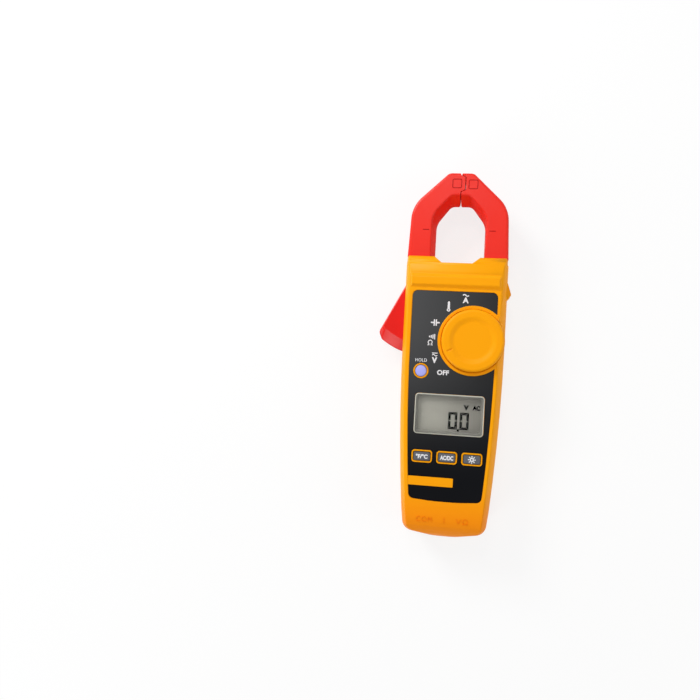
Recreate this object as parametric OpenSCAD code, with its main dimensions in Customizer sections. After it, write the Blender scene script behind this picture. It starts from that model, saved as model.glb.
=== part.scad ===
// Clamp meter lying on its back. X runs across the meter, Y from the test-lead end
// towards the jaws, Z out of the display. Stations along the meter are measured from the
// test-lead end, and in_frame() moves them so that the origin lies on the back face,
// on the middle plane, at half the overall length.

/* [Case] */
// Length of the case from the test-lead end to the jaw seam
case_l = 157.5; // [152:0.5:165]
// Width of the case at the jaw end
case_w = 58; // [57:0.5:62]
// Width of the case at the test-lead end, before its corners are rounded
case_foot_w = 46.6; // [46:0.2:52]
// Station where the straight sides start to taper towards the test-lead end
taper_y = 110; // [95:1:120]
// Radius of the corners at the test-lead end
foot_corner_r = 6; // [4:0.5:8]
// Radius of the bow of the test-lead end
foot_bow_r = 94; // [70:1:140]
// Height of the joint between the two covers
parting_z = 14.5; // [14:0.1:15]
// Height of the front face around the panel
face_z = 29.5; // [29:0.1:31]
// Drop of the front face at the test-lead end
foot_drop = 8; // [6:0.1:9]
// Distance of the slope up to the brow from the panel
brow_gap = 1.3; // [0.5:0.1:1.5]
// Width of the slope up to the brow
brow_w = 2.7; // [2:0.1:3.2]
// Rise of the brow above the front face
brow_rise = 1.6; // [0.8:0.1:2]
// Fall from the brow to the finger rest behind it
rest_drop = 1.5; // [0.5:0.1:1.6]
// Width of that fall
rest_w = 2.8; // [1.5:0.1:3]
// Length of the finger rest, up to the jaw seam
rest_l = 10; // [8:0.5:11]
// Height of the front lip at the jaw seam
lip_z = 25.2; // [24:0.1:26]
// Height where the sides start to round over to the front face
front_round_z = 19; // [16:0.5:21]
// Width of that rounding at the front face
front_round_w = 3.8; // [2:0.1:4.5]
// Height of the rounding along the back edges
rear_round_z = 6; // [3:0.5:8]
// Width of the rounding along the back edges
rear_round_w = 3.5; // [1:0.1:4]
// Chamfer along the raised ring and collar of the case
edge_chamfer = 0.4; // [0.2:0.1:0.5]
// Wall of both covers
wall = 2.2; // [1.8:0.1:2.6]
// Reach of the tactile bump on the right side
bump_reach = 2; // [1:0.1:3]
// Length of that bump along the side
bump_l = 9.2; // [6:0.1:12]
// Distance of the bump's lower end below the jaw pivots
bump_drop = 8; // [6:0.1:10]
// Clearance between pieces that are fixed to each other
fit_gap = 0.12; // [0.05:0.01:0.2]
// Clearance between pieces that move past each other
move_gap = 0.3; // [0.2:0.05:0.4]

/* [Panel] */
// Width of the case rim beside the panel
panel_rim = 5.4; // [5:0.1:6]
// Distance of the panel's upper edge from the jaw seam
panel_drop = 20; // [19:0.5:24]
// Distance of the panel's lower edge below the keys, at the middle
panel_tail = 24.3; // [22:0.1:26]
// Width of the flat rim below the panel
foot_land = 1.9; // [1:0.1:4]
// Thickness of the panel
panel_t = 1.5; // [1:0.1:2]
// Depth of the panel's face below the case rim
panel_sink = 0.6; // [0.2:0.1:1]
// Radius of the panel's corners
panel_corner_r = 3; // [2:0.1:4]
// Thickness of the case floor under the panel
floor_t = 2; // [1.6:0.1:2.4]
// Length of the bare label bar, from the panel's left edge
bar_w = 24.5; // [15:0.1:30]
// Height of the bare label bar
bar_h = 4.9; // [3:0.1:6]
// Distance of the bar's lower edge above the panel's lower edge
bar_rise = 8.2; // [6:0.1:10]
// Thickness of the label bar, half of it let into the panel
bar_t = 0.8; // [0.4:0.1:1]

/* [Display] */
// Width of the display window
window_w = 38.6; // [32:0.1:39]
// Height of the display window
window_h = 22.6; // [16:0.1:23]
// Distance of the window's middle below the hold button
window_drop = 23.6; // [21:0.1:26]
// Radius of the window's corners
window_corner_r = 2; // [1:0.1:3]
// Width of the ledge that carries the lens
lens_ledge = 1.2; // [0.8:0.1:1.6]
// Thickness of the display glass
glass_t = 2.4; // [1.5:0.1:2.6]
// Thickness of the backlight guide
guide_t = 1.8; // [1:0.1:2]

/* [Switch] */
// Distance of the knob's axis from the right side of the case
knob_side = 18; // [17.5:0.1:20]
// Distance of the knob's axis below the panel's upper edge
knob_drop = 27; // [25:0.1:28]
// Radius of the knob
knob_r = 17.2; // [15:0.1:17.6]
// Height of the knob's rim above the front face
knob_rise = 4.4; // [3:0.1:5]
// Width of the knob's flat rim
knob_rim_w = 5.4; // [3:0.1:7]
// Depth of the dish in the knob's face
dish_d = 1.1; // [0.4:0.1:1.6]
// Width of the raised ring of the case around the knob
ring_w = 1.7; // [1:0.1:2]
// Rise of that ring above the front face
ring_rise = 1.1; // [0.5:0.1:1.4]
// Radius of the knob's shaft
shaft_r = 4; // [3:0.1:5]
// Running clearance of the shaft, on the radius
shaft_gap = 0.06; // [0.03:0.01:0.1]
// Radius of the switch rotor
rotor_r = 13; // [10:0.1:13.2]
// Angle between two switch positions
detent_step = 25; // [20:1:28]

/* [Keys] */
// Distance of the keys below the window's middle
key_drop = 23.6; // [22:0.1:26]
// Distance between neighbouring keys
key_pitch = 13.8; // [13:0.05:14]
// Width of a key
key_w = 9.2; // [7:0.1:9.4]
// Height of a key
key_h = 4.7; // [4:0.1:6]
// Corner radius of a key
key_corner_r = 0.9; // [0.5:0.1:1.5]
// Width of the frame of the case around a key
frame_w = 0.8; // [0.6:0.1:1.2]
// Rise of the frames above the panel
frame_rise = 0.5; // [0.2:0.1:0.8]
// Rise of a key above its frame
key_proud = 0.5; // [0.2:0.1:1]
// Travel of the keys and of the hold button
key_travel = 0.8; // [0.4:0.1:0.9]
// Distance of the hold button from the left side of the case
hold_side = 12.2; // [11.8:0.1:14]
// Distance of the hold button below the knob's axis
hold_drop = 17.9; // [16:0.1:18.5]
// Radius of the hold button
hold_r = 3.15; // [2.5:0.05:3.4]

/* [Jaws] */
// Length of the jaws in front of the seam
jaw_l = 49.5; // [46:0.5:55]
// Half the width of the closed jaws at the seam
jaw_half_w = 28.7; // [28:0.1:29]
// Half the width of the jaws at the shoulder
shoulder_half_w = 27.5; // [26.5:0.1:28]
// Distance of the shoulder from the seam
shoulder_rise = 29.7; // [27:0.1:32]
// Half the width of the flat tip
tip_half_w = 6.9; // [5:0.1:9]
// Radius of the shoulder
shoulder_r = 18; // [12:0.5:20]
// Radius at the ends of the flat tip
tip_r = 4; // [2:0.5:6]
// Thickness of the jaws
jaw_t = 16.6; // [16:0.1:17]
// Height of the jaws' rear face
jaw_z = 6.2; // [6:0.1:6.6]
// Bevel along the jaws' outer edges
jaw_bevel = 2.2; // [1:0.1:3]
// Half the width of the jaw window at the faces
throat_half_w = 15.4; // [14.6:0.1:15.6]
// Distance of the window's top from the jaw tip
throat_top = 13.7; // [13:0.1:16]
// Half the width of the window's flat top
throat_top_half_w = 5.4; // [4:0.1:7]
// Distance of the window's corners from the jaw tip
throat_corner = 24.8; // [24:0.1:28]
// Flare of the window from mid-depth to the faces
throat_flare = 1.3; // [0.5:0.1:1.6]
// Further slope of the window's upper edge towards mid-depth
throat_fall = 3.2; // [1:0.1:4]
// Distance of the case ledge at the window's foot below the seam
ledge_drop = 3.7; // [3:0.1:4]
// Half the width of that ledge
ledge_half_w = 8.6; // [7:0.1:9]
// Gap between the two jaw tips
tip_gap = 0.6; // [0.4:0.05:0.8]
// Reach of the left tip's tongue into the right tip
tongue_reach = 2.5; // [1.5:0.1:3]
// Length of the tongue
tongue_l = 9; // [6:0.1:10]
// Distance of the tongue from the jaw tip
tongue_back = 2; // [1.5:0.1:3]

/* [Jaw pivots] */
// Distance of each pivot from the middle
pivot_x = 16; // [16:0.1:16.4]
// Distance of the pivots below the seam
pivot_drop = 14.5; // [14:0.1:15]
// Radius of the pivot pins
pin_r = 2; // [1.5:0.05:2.5]
// Running clearance of the jaws on the pins, on the radius
pin_gap = 0.05; // [0.03:0.01:0.1]
// Radius of the jaw knuckles
knuckle_r = 8.5; // [8:0.1:8.6]
// Teeth in a full turn of the jaw gear
gear_teeth = 20; // [18:1:22]
// Thickness of the gear sectors
gear_t = 4.3; // [3:0.1:4.4]
// Play between meshing teeth
gear_play = 0.3; // [0.2:0.05:0.5]
// Radius of the return spring's wire
spring_wire_r = 0.5; // [0.3:0.05:0.6]
// Turns of the return spring
spring_turns = 3; // [2:1:3]

/* [Trigger] */
// Reach of the trigger's tip from the middle
trigger_reach = 43.6; // [40:0.1:46]
// Distance of the trigger's tip below the pivots
trigger_tip_drop = 29.2; // [26:0.1:32]
// Radius of the trigger's lower edge about its pivot
trigger_sweep_r = 42.1; // [41.5:0.1:44]
// Thickness of the trigger
trigger_t = 14; // [10:0.1:14.4]
// Width of the bevel along the trigger's lower edge
trigger_bevel_w = 6.4; // [2:0.1:8]
// Depth of that bevel
trigger_bevel_d = 4; // [1:0.1:5]
// Thickness of the strap that keys the trigger into the left jaw
strap_t = 5; // [3:0.1:5.1]

/* [Test-lead jacks] */
// Distance between the two jacks
jack_pitch = 19; // [18:0.1:20]
// Height of the jacks' axes
jack_z = 13; // [12:0.1:13.6]
// Radius of a jack's bore
jack_bore_r = 2.03; // [2:0.01:2.1]
// Wall of a jack's brass sleeve
jack_wall = 0.9; // [0.6:0.1:1.1]
// Radius of the shroud opening around a jack
shroud_r = 4.3; // [4.2:0.1:4.6]
// Wall of the shroud
shroud_wall = 1.1; // [0.8:0.1:1.2]
// Length of a jack's bore
jack_l = 16; // [12:0.5:17]
// Depth of the jack's mouth below the end of the case
jack_sink = 4; // [3:0.5:6]

/* [Power] */
// Diameter of a cell
cell_d = 10.5; // [10:0.1:10.6]
// Length of a cell
cell_l = 44.5; // [42:0.1:45]
// Station of the battery compartment's lower end
bay_foot = 27; // [26.5:0.5:30]
// Room for the contacts at each end of the cells
contact_room = 1.8; // [1.5:0.1:3]
// Thickness of the battery door
door_t = 2; // [1.6:0.1:2.2]
// Width of the door's overlap around the compartment
door_lap = 2.5; // [2:0.1:3]
// Length of the door beyond the compartment, for its screw
door_tail = 9; // [8:0.5:12]
// Radius of the screws' shanks
screw_r = 1.1; // [0.8:0.05:1.2]
// Radius of the screws' heads
head_r = 2.3; // [2:0.1:2.4]

/* [Board] */
// Thickness of the circuit board
board_t = 1.6; // [1:0.1:1.8]
// Height of the board's upper face
board_z = 17.8; // [17.6:0.1:18]
// Distance between the board and the screw bosses beside it
board_gap = 0.5; // [0.3:0.1:1]
// Width of the meter chip
chip_w = 12; // [8:0.5:14]
// Length of the meter chip
chip_l = 10; // [8:0.5:12]
// Radius of the buzzer
buzzer_r = 8; // [6:0.1:8.5]
// Length of the leads from the jaws
lead_l = 12; // [8:0.5:12]

/* [Hidden] */
$fn = 64;
skin = 0.01;
over = 1;

total_l = case_l + jaw_l;
side_drop = (case_w - case_foot_w) / 2;
side_r = (taper_y * taper_y + side_drop * side_drop) / (2 * side_drop);
brow_z = face_z + brow_rise;
rest_z = brow_z - rest_drop;
foot_curve = 4;
rest_curve = 1.6;
profile_steps = 8;
panel_z = face_z - panel_sink;
floor_z = panel_z - panel_t;
roof_z = floor_z - floor_t;
panel_bow_r = 2 * foot_bow_r;
bump_flat = 0.8;
bump_ramp = 2.4;

panel_top = case_l - panel_drop;
knob_x = case_w / 2 - knob_side;
knob_y = panel_top - knob_drop;
hold_x = case_w / 2 - hold_side;
hold_y = knob_y - hold_drop;
window_y = hold_y - window_drop;
key_y = window_y - key_drop;
panel_foot = key_y - panel_tail;
foot_run = panel_foot - foot_land;

knob_gap = 0.5;
knob_edge_r = 1.6;
knob_taper = 0.2;
knob_chamfer = 0.6;
dish_run = 3;
pointer_l = 3;
pointer_w = 0.8;
pointer_d = 0.5;
pointer_in = 2.1;
pocket_r = knob_r + knob_gap;
ring_r = pocket_r + ring_w;
ring_z = face_z + ring_rise;
knob_z = face_z + knob_rise;
pocket_z = floor_z - 0.9;
knob_foot_z = pocket_z + move_gap;
sleeve_r = shaft_r + 2.5;
rotor_t = 2;
rotor_z = board_z + 1.4;
hub_r = shaft_r + 2;
hub_top_z = rotor_z + rotor_t + 1.5;
sleeve_z = hub_top_z + move_gap;
notch_r = 0.9;
wiper_t = 0.4;
wiper_w = 1.6;
wiper_in = 2;
detent_post_r = 1.2;
detent_post_x = 6;
detent_y = knob_y - rotor_r - 2.4;

key_xs = [-key_pitch, 0, key_pitch];
key_top_z = panel_z + frame_rise + key_proud;
key_edge = 0.4;
flange_t = 0.9;
flange_w = 0.5;
stem_r = 1.8;
dome_r = 2.1;
dome_t = 1.2;
stem_foot_z = board_z + dome_t + key_travel + 0.1;
hold_well_r = hold_r + move_gap;
hold_crown = 0.5;
hold_edge_r = 0.7;

bar_left = half_w(panel_foot + bar_rise) - panel_rim - fit_gap;
bar_corner_r = 0.6;
glass_w = window_w + 1.8;
glass_h = window_h + 3.6;
holder_wall = 1.2;
strip_w = 1.8;
strip_in = 1.2;
lens_proud = 0.2;

jaw_tip = total_l;
jaw_top_z = jaw_z + jaw_t;
jaw_mid_z = jaw_z + jaw_t / 2;
pivot_y = case_l - pivot_drop;
mouth_gap = 0.4;
mouth_top_z = jaw_top_z + mouth_gap;
mouth_foot_z = jaw_z - move_gap;
tongue_r = 1;
ledge_wall = 1.8;
ledge_slope = 4;
ledge_reach = 4.5;
neck_in = 15.6;
neck_swing = 2.2;
neck_lap = 0.5;
neck_wall = 1.6;
neck_slot = 4;
neck_out = pivot_x + 7.5;
side_wall_end = case_l - 3.4;
shoulder_cut = 2.6;
boss_r = pin_r + 2.5;
pin_foot_z = 1;
pin_head_z = roof_z + 1.6;

module_size = 2 * pivot_x / gear_teeth;
gear_base_r = pivot_x * cos(20);
gear_tip_r = pivot_x + 0.8 * module_size;
gear_root_r = pivot_x - module_size;
tooth_step = 360 / gear_teeth;
gear_z = jaw_z + move_gap;
strap_z = jaw_z + 4.7;
spring_seat_z = strap_z + strap_t + 2;
spring_r = 4.3;
spring_room_r = spring_r + spring_wire_r + 0.7;
spring_pitch = (jaw_top_z - spring_seat_z - 2 * spring_wire_r - 0.4) / spring_turns;
spring_sides = 6;
spring_steps = 24;

trigger_z = jaw_mid_z - trigger_t / 2;
trigger_top_y = pivot_y - 1;
trigger_in = case_w / 2 - 4.5;
trigger_tip_r = 3;
trigger_edge = 1.2;
tip_turn = 6;
slot_gap = 0.45;
strap_in = 2.3;
strap_rise = 1.5;
strap_drop = 16;
strap_key_w = 8;

core_t = 7;
core_in = 3.4;
core_out = 4.4;
cavity_play = 0.7;
coil_l = 16;
coil_w = 10;
coil_t = 11.2;
coil_foot = case_l + 2.5;
coil_x = (throat_half_w + core_in + jaw_half_w - core_out) / 2;

bay_w = 2 * cell_d + 2;
bay_l = cell_l + 2 * contact_room;
bay_top_z = door_t + cell_d + 0.6;
bay_wall = 1.2;
door_foot = bay_foot - door_lap;
door_top = bay_foot + bay_l + door_tail;
door_half_w = bay_w / 2 + door_lap;
door_screw_y = bay_foot + bay_l + bay_wall + 3.4;
cell_z = door_t + 0.3 + cell_d / 2;
cell_xs = [-(cell_d + 0.7) / 2, (cell_d + 0.7) / 2];
cell_cap_r = 1.9;
cell_cap_l = 1;
contact_t = 0.4;
contact_w = 7;
contact_nib = 2.4;
door_boss_z = 8;
door_screw_z = 0.4;
door_head_t = 0.9;
door_tab_w = 4;
door_tab_l = 1.2;
door_corner_r = 2;
grip_w = 12;
grip_pitch = 2;
grip_d = 0.4;
slot_w = 0.6;

screw_boss_r = 3;
screw_room = 0.25;
side_screw_rim = 6.7;
mid_screw_y = pivot_y - 13.4;
side_screw_y = window_y + glass_h / 2 + holder_wall + screw_boss_r + screw_room;
side_screw_x = case_w / 2 - side_screw_rim;
foot_screw_x = jack_pitch / 2 + shroud_r + shroud_wall + screw_boss_r + screw_room;
foot_screw_y = 12.4;
screw_spots = [
    [0, mid_screw_y],
    [-side_screw_x, side_screw_y], [side_screw_x, side_screw_y],
    [-foot_screw_x, foot_screw_y], [foot_screw_x, foot_screw_y]
];
screw_head_z = 1;
head_t = 1.5;
screw_top_z = parting_z + 7;

jack_xs = [-jack_pitch / 2, jack_pitch / 2];
shroud_out_r = shroud_r + shroud_wall;
shroud_end = jack_sink + jack_l;
jack_out_r = jack_bore_r + jack_wall;
board_foot = shroud_end + 3;
board_top = mid_screw_y - screw_boss_r - screw_room;
board_half_w = side_screw_x - screw_boss_r - board_gap;
board_notch_x = 12.5;
board_notch_y = knob_y - 15;
under_z = board_z - board_t;
chip_x = 2;
chip_t = 1.6;
chip_drop = 21;
side_chip_w = 7;
side_chip_x = 11.5;
relay_w = 5;
relay_l = 8;
relay_t = 2;
relay_x = 7.5;
relay_drop = 6.5;
resistor_w = 2;
resistor_l = 3;
resistor_t = 1;
resistor_rise = 10;
buzzer_t = 2.4;
buzzer_in = 2;
buzzer_rise = 4;
lead_x = 9;
lead_r = 0.7;
lead_lap = 3;

plastic_yellow = "#f5a81c";
plastic_red = "#d8281e";
plastic_black = "#2c2d30";
metal_brass = "#c9a24a";
metal_steel = "#b9bcc0";

function unit(v) = v / norm(v);

// Points of the arc of radius r that rounds corner b between a and c
function corner(a, b, c, r, n = 6) =
    let (
        u = unit(a - b),
        w = unit(c - b),
        half = acos(u * w) / 2,
        o = b + unit(u + w) * r / sin(half),
        s = b + u * r / tan(half) - o,
        e = b + w * r / tan(half) - o,
        from = atan2(s[1], s[0]),
        turn = (atan2(e[1], e[0]) - from + 540) % 360 - 180
    )
    [for (i = [0:n]) o + r * [cos(from + turn * i / n), sin(from + turn * i / n)]];

function mirrored(points) = [for (i = [len(points) - 1:-1:0]) [-points[i][0], points[i][1]]];

// Half the case's width at a station: straight, then an arc towards the foot
function half_w(y) =
    case_w / 2 - (y < taper_y ? side_r - sqrt(side_r * side_r - (taper_y - y) * (taper_y - y)) : 0);

function bow(x, r) = x * x / (2 * r);

// Right half of an outline that follows the case's sides and foot at a distance, its corner rounded
function side_points(inset, foot, top, bow_r, corner_r, n = 8) =
    let (
        reach = half_w(foot) - inset,
        toe = [reach - 2 * corner_r, foot + bow(reach - 2 * corner_r, bow_r)],
        heel = [reach, foot + bow(reach, bow_r)],
        start = heel[1] + 2 * corner_r,
        rise = [half_w(start) - inset, start]
    )
    concat(
        [for (x = [toe[0] / 3, toe[0] * 2 / 3]) [x, foot + bow(x, bow_r)]],
        corner(toe, heel, rise, corner_r, 10),
        [for (i = [0:n]) let (y = start + (top - start) * i / n) [half_w(y) - inset, y]]
    );

function front_round(z) =
    front_round_w * pow(max(0, z - front_round_z) / (face_z - front_round_z), 2);

function rear_round(z) = rear_round_w * pow(max(0, rear_round_z - z) / rear_round_z, 2);

// Front of the case from foot to seam: rounded over the foot, level beside the panel, up to the brow, down to
// the finger rest, and on to the lip at the jaws
function front_profile() =
    let (n = profile_steps, slope = panel_top + brow_gap, rest = case_l - rest_l)
    concat(
        [for (i = [0:n]) [foot_run * i / n, face_z - foot_drop * pow(1 - i / n, foot_curve)]],
        [for (i = [0:n]) [slope + brow_w * i / n, face_z + brow_rise * (1 - cos(180 * i / n)) / 2]],
        [for (i = [0:n]) [rest - rest_w * (1 - i / n), brow_z - rest_drop * (1 - cos(180 * i / n)) / 2]],
        [for (i = [1:n]) [rest + rest_l * i / n, rest_z - (rest_z - lip_z) * pow(i / n, rest_curve)]]
    );

function jaw_half_points() =
    let (
        tip = [tip_half_w, jaw_tip],
        shoulder = [shoulder_half_w, case_l + shoulder_rise],
        foot = [jaw_half_w, case_l]
    )
    concat([foot], corner(foot, shoulder, tip, shoulder_r, 10), corner(shoulder, tip, [0, jaw_tip], tip_r));

function throat_half_points() =
    let (
        top = [throat_top_half_w, jaw_tip - throat_top],
        side = [throat_half_w, jaw_tip - throat_corner],
        foot = [throat_half_w, case_l - 2 * pivot_drop]
    )
    concat([foot], corner(foot, side, top, 12), corner(side, top, [0, jaw_tip - throat_top], 6));

// Everything left of the split between the jaw tips, with the tongue, moved by shift
function left_of_split(shift) =
    let (x = shift, reach = tongue_reach + shift, far = 2 * jaw_half_w)
    let (low = jaw_tip - tongue_back - tongue_l - shift, high = jaw_tip - tongue_back + shift)
    concat(
        [[-far, 0]],
        corner([x, 0], [x, low], [reach, low], tongue_r),
        corner([x, low], [reach, low], [reach, high], tongue_r),
        corner([reach, low], [reach, high], [x, high], tongue_r),
        corner([reach, high], [x, high], [x, jaw_tip + over], tongue_r),
        [[x, jaw_tip + over], [-far, jaw_tip + over]]
    );

// One gear tooth on the +X axis, its flanks involutes of the base circle
function involute(r) = sqrt(pow(r / gear_base_r, 2) - 1) * 180 / PI - acos(gear_base_r / r);

function tooth_half_angle(r) =
    tooth_step / 4 - gear_play / 2 / pivot_x * 180 / PI + involute(pivot_x) - involute(max(r, gear_base_r));

function tooth_points(n = 6) =
    let (
        radii = [for (i = [0:n]) gear_root_r + (gear_tip_r - gear_root_r) * i / n],
        flank = [for (r = radii) r * [cos(tooth_half_angle(r)), sin(tooth_half_angle(r))]],
        heel = [gear_root_r - module_size, 0]
    )
    concat([for (i = [0:n]) [flank[i][0], -flank[i][1]]], [for (i = [n:-1:0]) flank[i]], [heel]);

module in_frame() {
    translate([0, -total_l / 2, 0]) children();
}

module post(x, y, z0, z1, r) {
    translate([x, y, z0]) cylinder(h = z1 - z0, r = r);
}

// Post whose upper edge is chamfered
module chamfered_post(x, y, z0, z1, r) {
    post(x, y, z0, z1 - edge_chamfer, r);
    translate([x, y, z1 - edge_chamfer]) cylinder(h = edge_chamfer, r1 = r, r2 = r - edge_chamfer);
}

// Round bar along Y at the height of the jacks
module lying(x, y0, y1, r) {
    translate([x, y0, jack_z]) rotate([-90, 0, 0]) cylinder(h = y1 - y0, r = r);
}

module block(x0, x1, y0, y1, z0, z1) {
    translate([x0, y0, z0]) cube([x1 - x0, y1 - y0, z1 - z0]);
}

module plate(z0, z1) {
    translate([0, 0, z0]) linear_extrude(z1 - z0) children();
}

module rounded_rect(w, h, r) {
    for (x = [-1, 1]) {
        for (y = [-1, 1]) {
            translate([x * (w / 2 - r), y * (h / 2 - r)]) circle(r = r);
        }
    }
    square([w - 2 * r, h], center = true);
    square([w, h - 2 * r], center = true);
}

// Profile given in Y and Z, carried across the whole meter
module across(points) {
    far = case_w;
    translate([far, 0, 0]) rotate([90, 0, -90])
        linear_extrude(2 * far) polygon([for (p = points) [-p[0], p[1]]]);
}

function case_points(inset) =
    let (half = side_points(inset, inset, case_l + 2 * over, foot_bow_r, foot_corner_r))
    concat(half, mirrored(half));

// Solid through outlines of equal length, each at its own height
module loft(outlines, heights) {
    n = len(outlines[0]);
    last = (len(outlines) - 1) * n;
    points = [for (j = [0:len(outlines) - 1], p = outlines[j]) [p[0], p[1], heights[j]]];
    sides = [for (j = [0:len(outlines) - 2], i = [0:n - 1])
        let (a = j * n + i, b = j * n + (i + 1) % n)
        each [[a, a + n, b + n], [a, b + n, b]]];
    ends = [for (k = [1:n - 2]) each [[0, k, k + 1], [last, last + k + 1, last + k]]];
    polyhedron(points, concat(sides, ends));
}

module front_form(inset, foot, top) {
    levels = 8;
    heights = concat([foot], [for (i = [0:levels]) front_round_z + (top - front_round_z) * i / levels]);
    loft([for (z = heights) case_points(inset + front_round(z))], heights);
}

module rear_form(inset, foot, top) {
    levels = 6;
    heights = concat([for (i = [0:levels]) foot + (rear_round_z - foot) * i / levels], [top]);
    loft([for (z = heights) case_points(inset + rear_round(z))], heights);
}

module panel_outline(grow) {
    half = side_points(panel_rim - grow, panel_foot - grow, panel_top + grow - panel_corner_r, panel_bow_r,
        panel_corner_r);
    top = [half_w(panel_top) - panel_rim + grow, panel_top + grow];
    shoulder = corner([top[0], top[1] - 2 * panel_corner_r], top, [0, top[1]], panel_corner_r);
    points = concat([for (i = [0:len(half) - 2]) half[i]], shoulder);
    polygon(concat(points, mirrored(points)));
}

module both_sides() {
    children();
    mirror([1, 0, 0]) children();
}

// Window foot between the jaws: the case steps back to the ledge, with sloped ends
module throat_notch() {
    reach = ledge_reach * (ledge_drop + over) / ledge_slope;
    plate(-over, brow_z + over) polygon([
        [-ledge_half_w - reach, case_l + over], [-ledge_half_w, case_l - ledge_drop],
        [ledge_half_w, case_l - ledge_drop], [ledge_half_w + reach, case_l + over]
    ]);
}

// Mouth on the right through which a jaw leaves the case, with room to swing
module jaw_mouth() {
    ledge_y = case_l - ledge_drop - ledge_wall;
    tip_x = neck_in - neck_swing;
    slope = ledge_slope / ledge_reach;
    start_x = ledge_half_w + ledge_wall * 0.7;
    plate(mouth_foot_z, mouth_top_z) polygon([
        [start_x, ledge_y - over], [start_x, ledge_y],
        [tip_x, ledge_y + (tip_x - start_x) * slope], [tip_x, case_l + over],
        [case_w, case_l + over], [case_w, side_wall_end],
        [case_w / 2 - wall, side_wall_end], [case_w / 2 - wall, ledge_y - over]
    ]);
}

module trigger_slot() {
    foot = pivot_y - sqrt(pow(trigger_sweep_r + slot_gap, 2) - pow(case_w / 2 - pivot_x, 2));
    block(-case_w, -case_w / 2 + wall + 2 * over, foot - slot_gap, trigger_top_y + slot_gap,
        trigger_z - slot_gap, trigger_z + trigger_t + slot_gap);
}

module jack_openings() {
    for (x = jack_xs) {
        lying(x, -over, 3 * wall - over, shroud_out_r + fit_gap);
    }
}

module side_bump(z0, z1) {
    foot = pivot_y - bump_drop;
    edge = case_w / 2;
    plate(z0, z1) polygon([
        [edge - over, foot + bump_l], [edge, foot + bump_l],
        [edge + bump_reach, foot + bump_ramp + bump_flat], [edge + bump_reach, foot + bump_ramp],
        [edge, foot], [edge - over, foot]
    ]);
}

// Covers of the case

module front_shell() {
    difference() {
        intersection() {
            front_form(0, parting_z, brow_z);
            across(concat(
                [[-over, parting_z], [-over, face_z - foot_drop]], front_profile(), [[case_l, parting_z]]
            ));
        }
        intersection() {
            front_form(wall, parting_z - over, roof_z);
            block(-case_w, case_w, wall, case_l - ledge_drop - ledge_wall, parting_z - over, roof_z);
        }
        plate(floor_z, brow_z + over) panel_outline(fit_gap);
    }
    intersection() {
        front_form(0, parting_z, ring_z);
        chamfered_post(knob_x, knob_y, roof_z, ring_z, ring_r);
    }
    side_bump(parting_z, front_round_z + 3);
}

module front_cover() color(plastic_yellow) in_frame() difference() {
    union() {
        front_shell();
        post(knob_x, knob_y, sleeve_z, pocket_z, sleeve_r);
        chamfered_post(-hold_x, hold_y, roof_z, panel_z + frame_rise, hold_well_r + frame_w);
        for (x = key_xs) {
            translate([x, key_y]) plate(roof_z, panel_z + frame_rise)
                rounded_rect(key_w + 2 * (frame_w + move_gap), key_h + 2 * (frame_w + move_gap),
                    key_corner_r + frame_w);
        }
        for (s = screw_spots) {
            post(s[0], s[1], parting_z, roof_z + skin, screw_boss_r);
        }
        both_sides() post(pivot_x, pivot_y, mouth_top_z, roof_z + skin, boss_r);
        for (x = [-detent_post_x, detent_post_x]) {
            post(knob_x + x, detent_y, rotor_z, roof_z + skin, detent_post_r);
        }
    }
    post(knob_x, knob_y, pocket_z, knob_z, pocket_r);
    post(knob_x, knob_y, 0, knob_z, shaft_r + shaft_gap);
    post(-hold_x, hold_y, 0, knob_z, hold_well_r);
    for (x = key_xs) {
        translate([x, key_y]) plate(roof_z - over, knob_z)
            rounded_rect(key_w + 2 * move_gap, key_h + 2 * move_gap, key_corner_r);
    }
    translate([0, window_y]) plate(roof_z - over, floor_z + over)
        rounded_rect(window_w - 2 * lens_ledge, window_h - 2 * lens_ledge, window_corner_r);
    for (s = screw_spots) {
        post(s[0], s[1], 0, screw_top_z + over, screw_r);
    }
    throat_notch();
    both_sides() {
        jaw_mouth();
        post(pivot_x, pivot_y, 0, pin_head_z, pin_r);
        plate(-over, brow_z + over) polygon([
            [case_w / 2 - shoulder_cut, case_l + over], [case_w / 2 + over, case_l + over],
            [case_w / 2 + over, case_l - shoulder_cut]
        ]);
    }
    trigger_slot();
    jack_openings();
}

module rear_shell() {
    difference() {
        intersection() {
            rear_form(0, 0, parting_z);
            block(-case_w, case_w, -over, case_l, 0, parting_z);
        }
        intersection() {
            rear_form(wall, wall, parting_z + over);
            block(-case_w, case_w, wall, case_l - ledge_drop - ledge_wall, wall, parting_z + over);
        }
    }
    block(-bay_w / 2 - bay_wall, bay_w / 2 + bay_wall, bay_foot - bay_wall, bay_foot + bay_l + bay_wall,
        door_t, bay_top_z + bay_wall);
    side_bump(rear_round_z, parting_z);
}

module rear_cover() color(plastic_yellow) in_frame() difference() {
    union() {
        rear_shell();
        for (s = screw_spots) {
            post(s[0], s[1], wall - skin, parting_z, screw_boss_r);
        }
        post(0, door_screw_y, wall - skin, door_boss_z, screw_boss_r);
        both_sides() post(pivot_x, pivot_y, wall - skin, mouth_foot_z, boss_r);
    }
    block(-bay_w / 2, bay_w / 2, bay_foot, bay_foot + bay_l, -over, bay_top_z);
    plate(-over, door_t) door_outline(0);
    post(0, door_screw_y, -over, door_boss_z - over, screw_r);
    for (s = screw_spots) {
        post(s[0], s[1], -over, parting_z + over, screw_r + fit_gap);
        post(s[0], s[1], -over, screw_head_z + head_t, head_r + fit_gap);
    }
    throat_notch();
    both_sides() {
        jaw_mouth();
        post(pivot_x, pivot_y, pin_foot_z, parting_z, pin_r);
    }
    trigger_slot();
    jack_openings();
}

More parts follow.
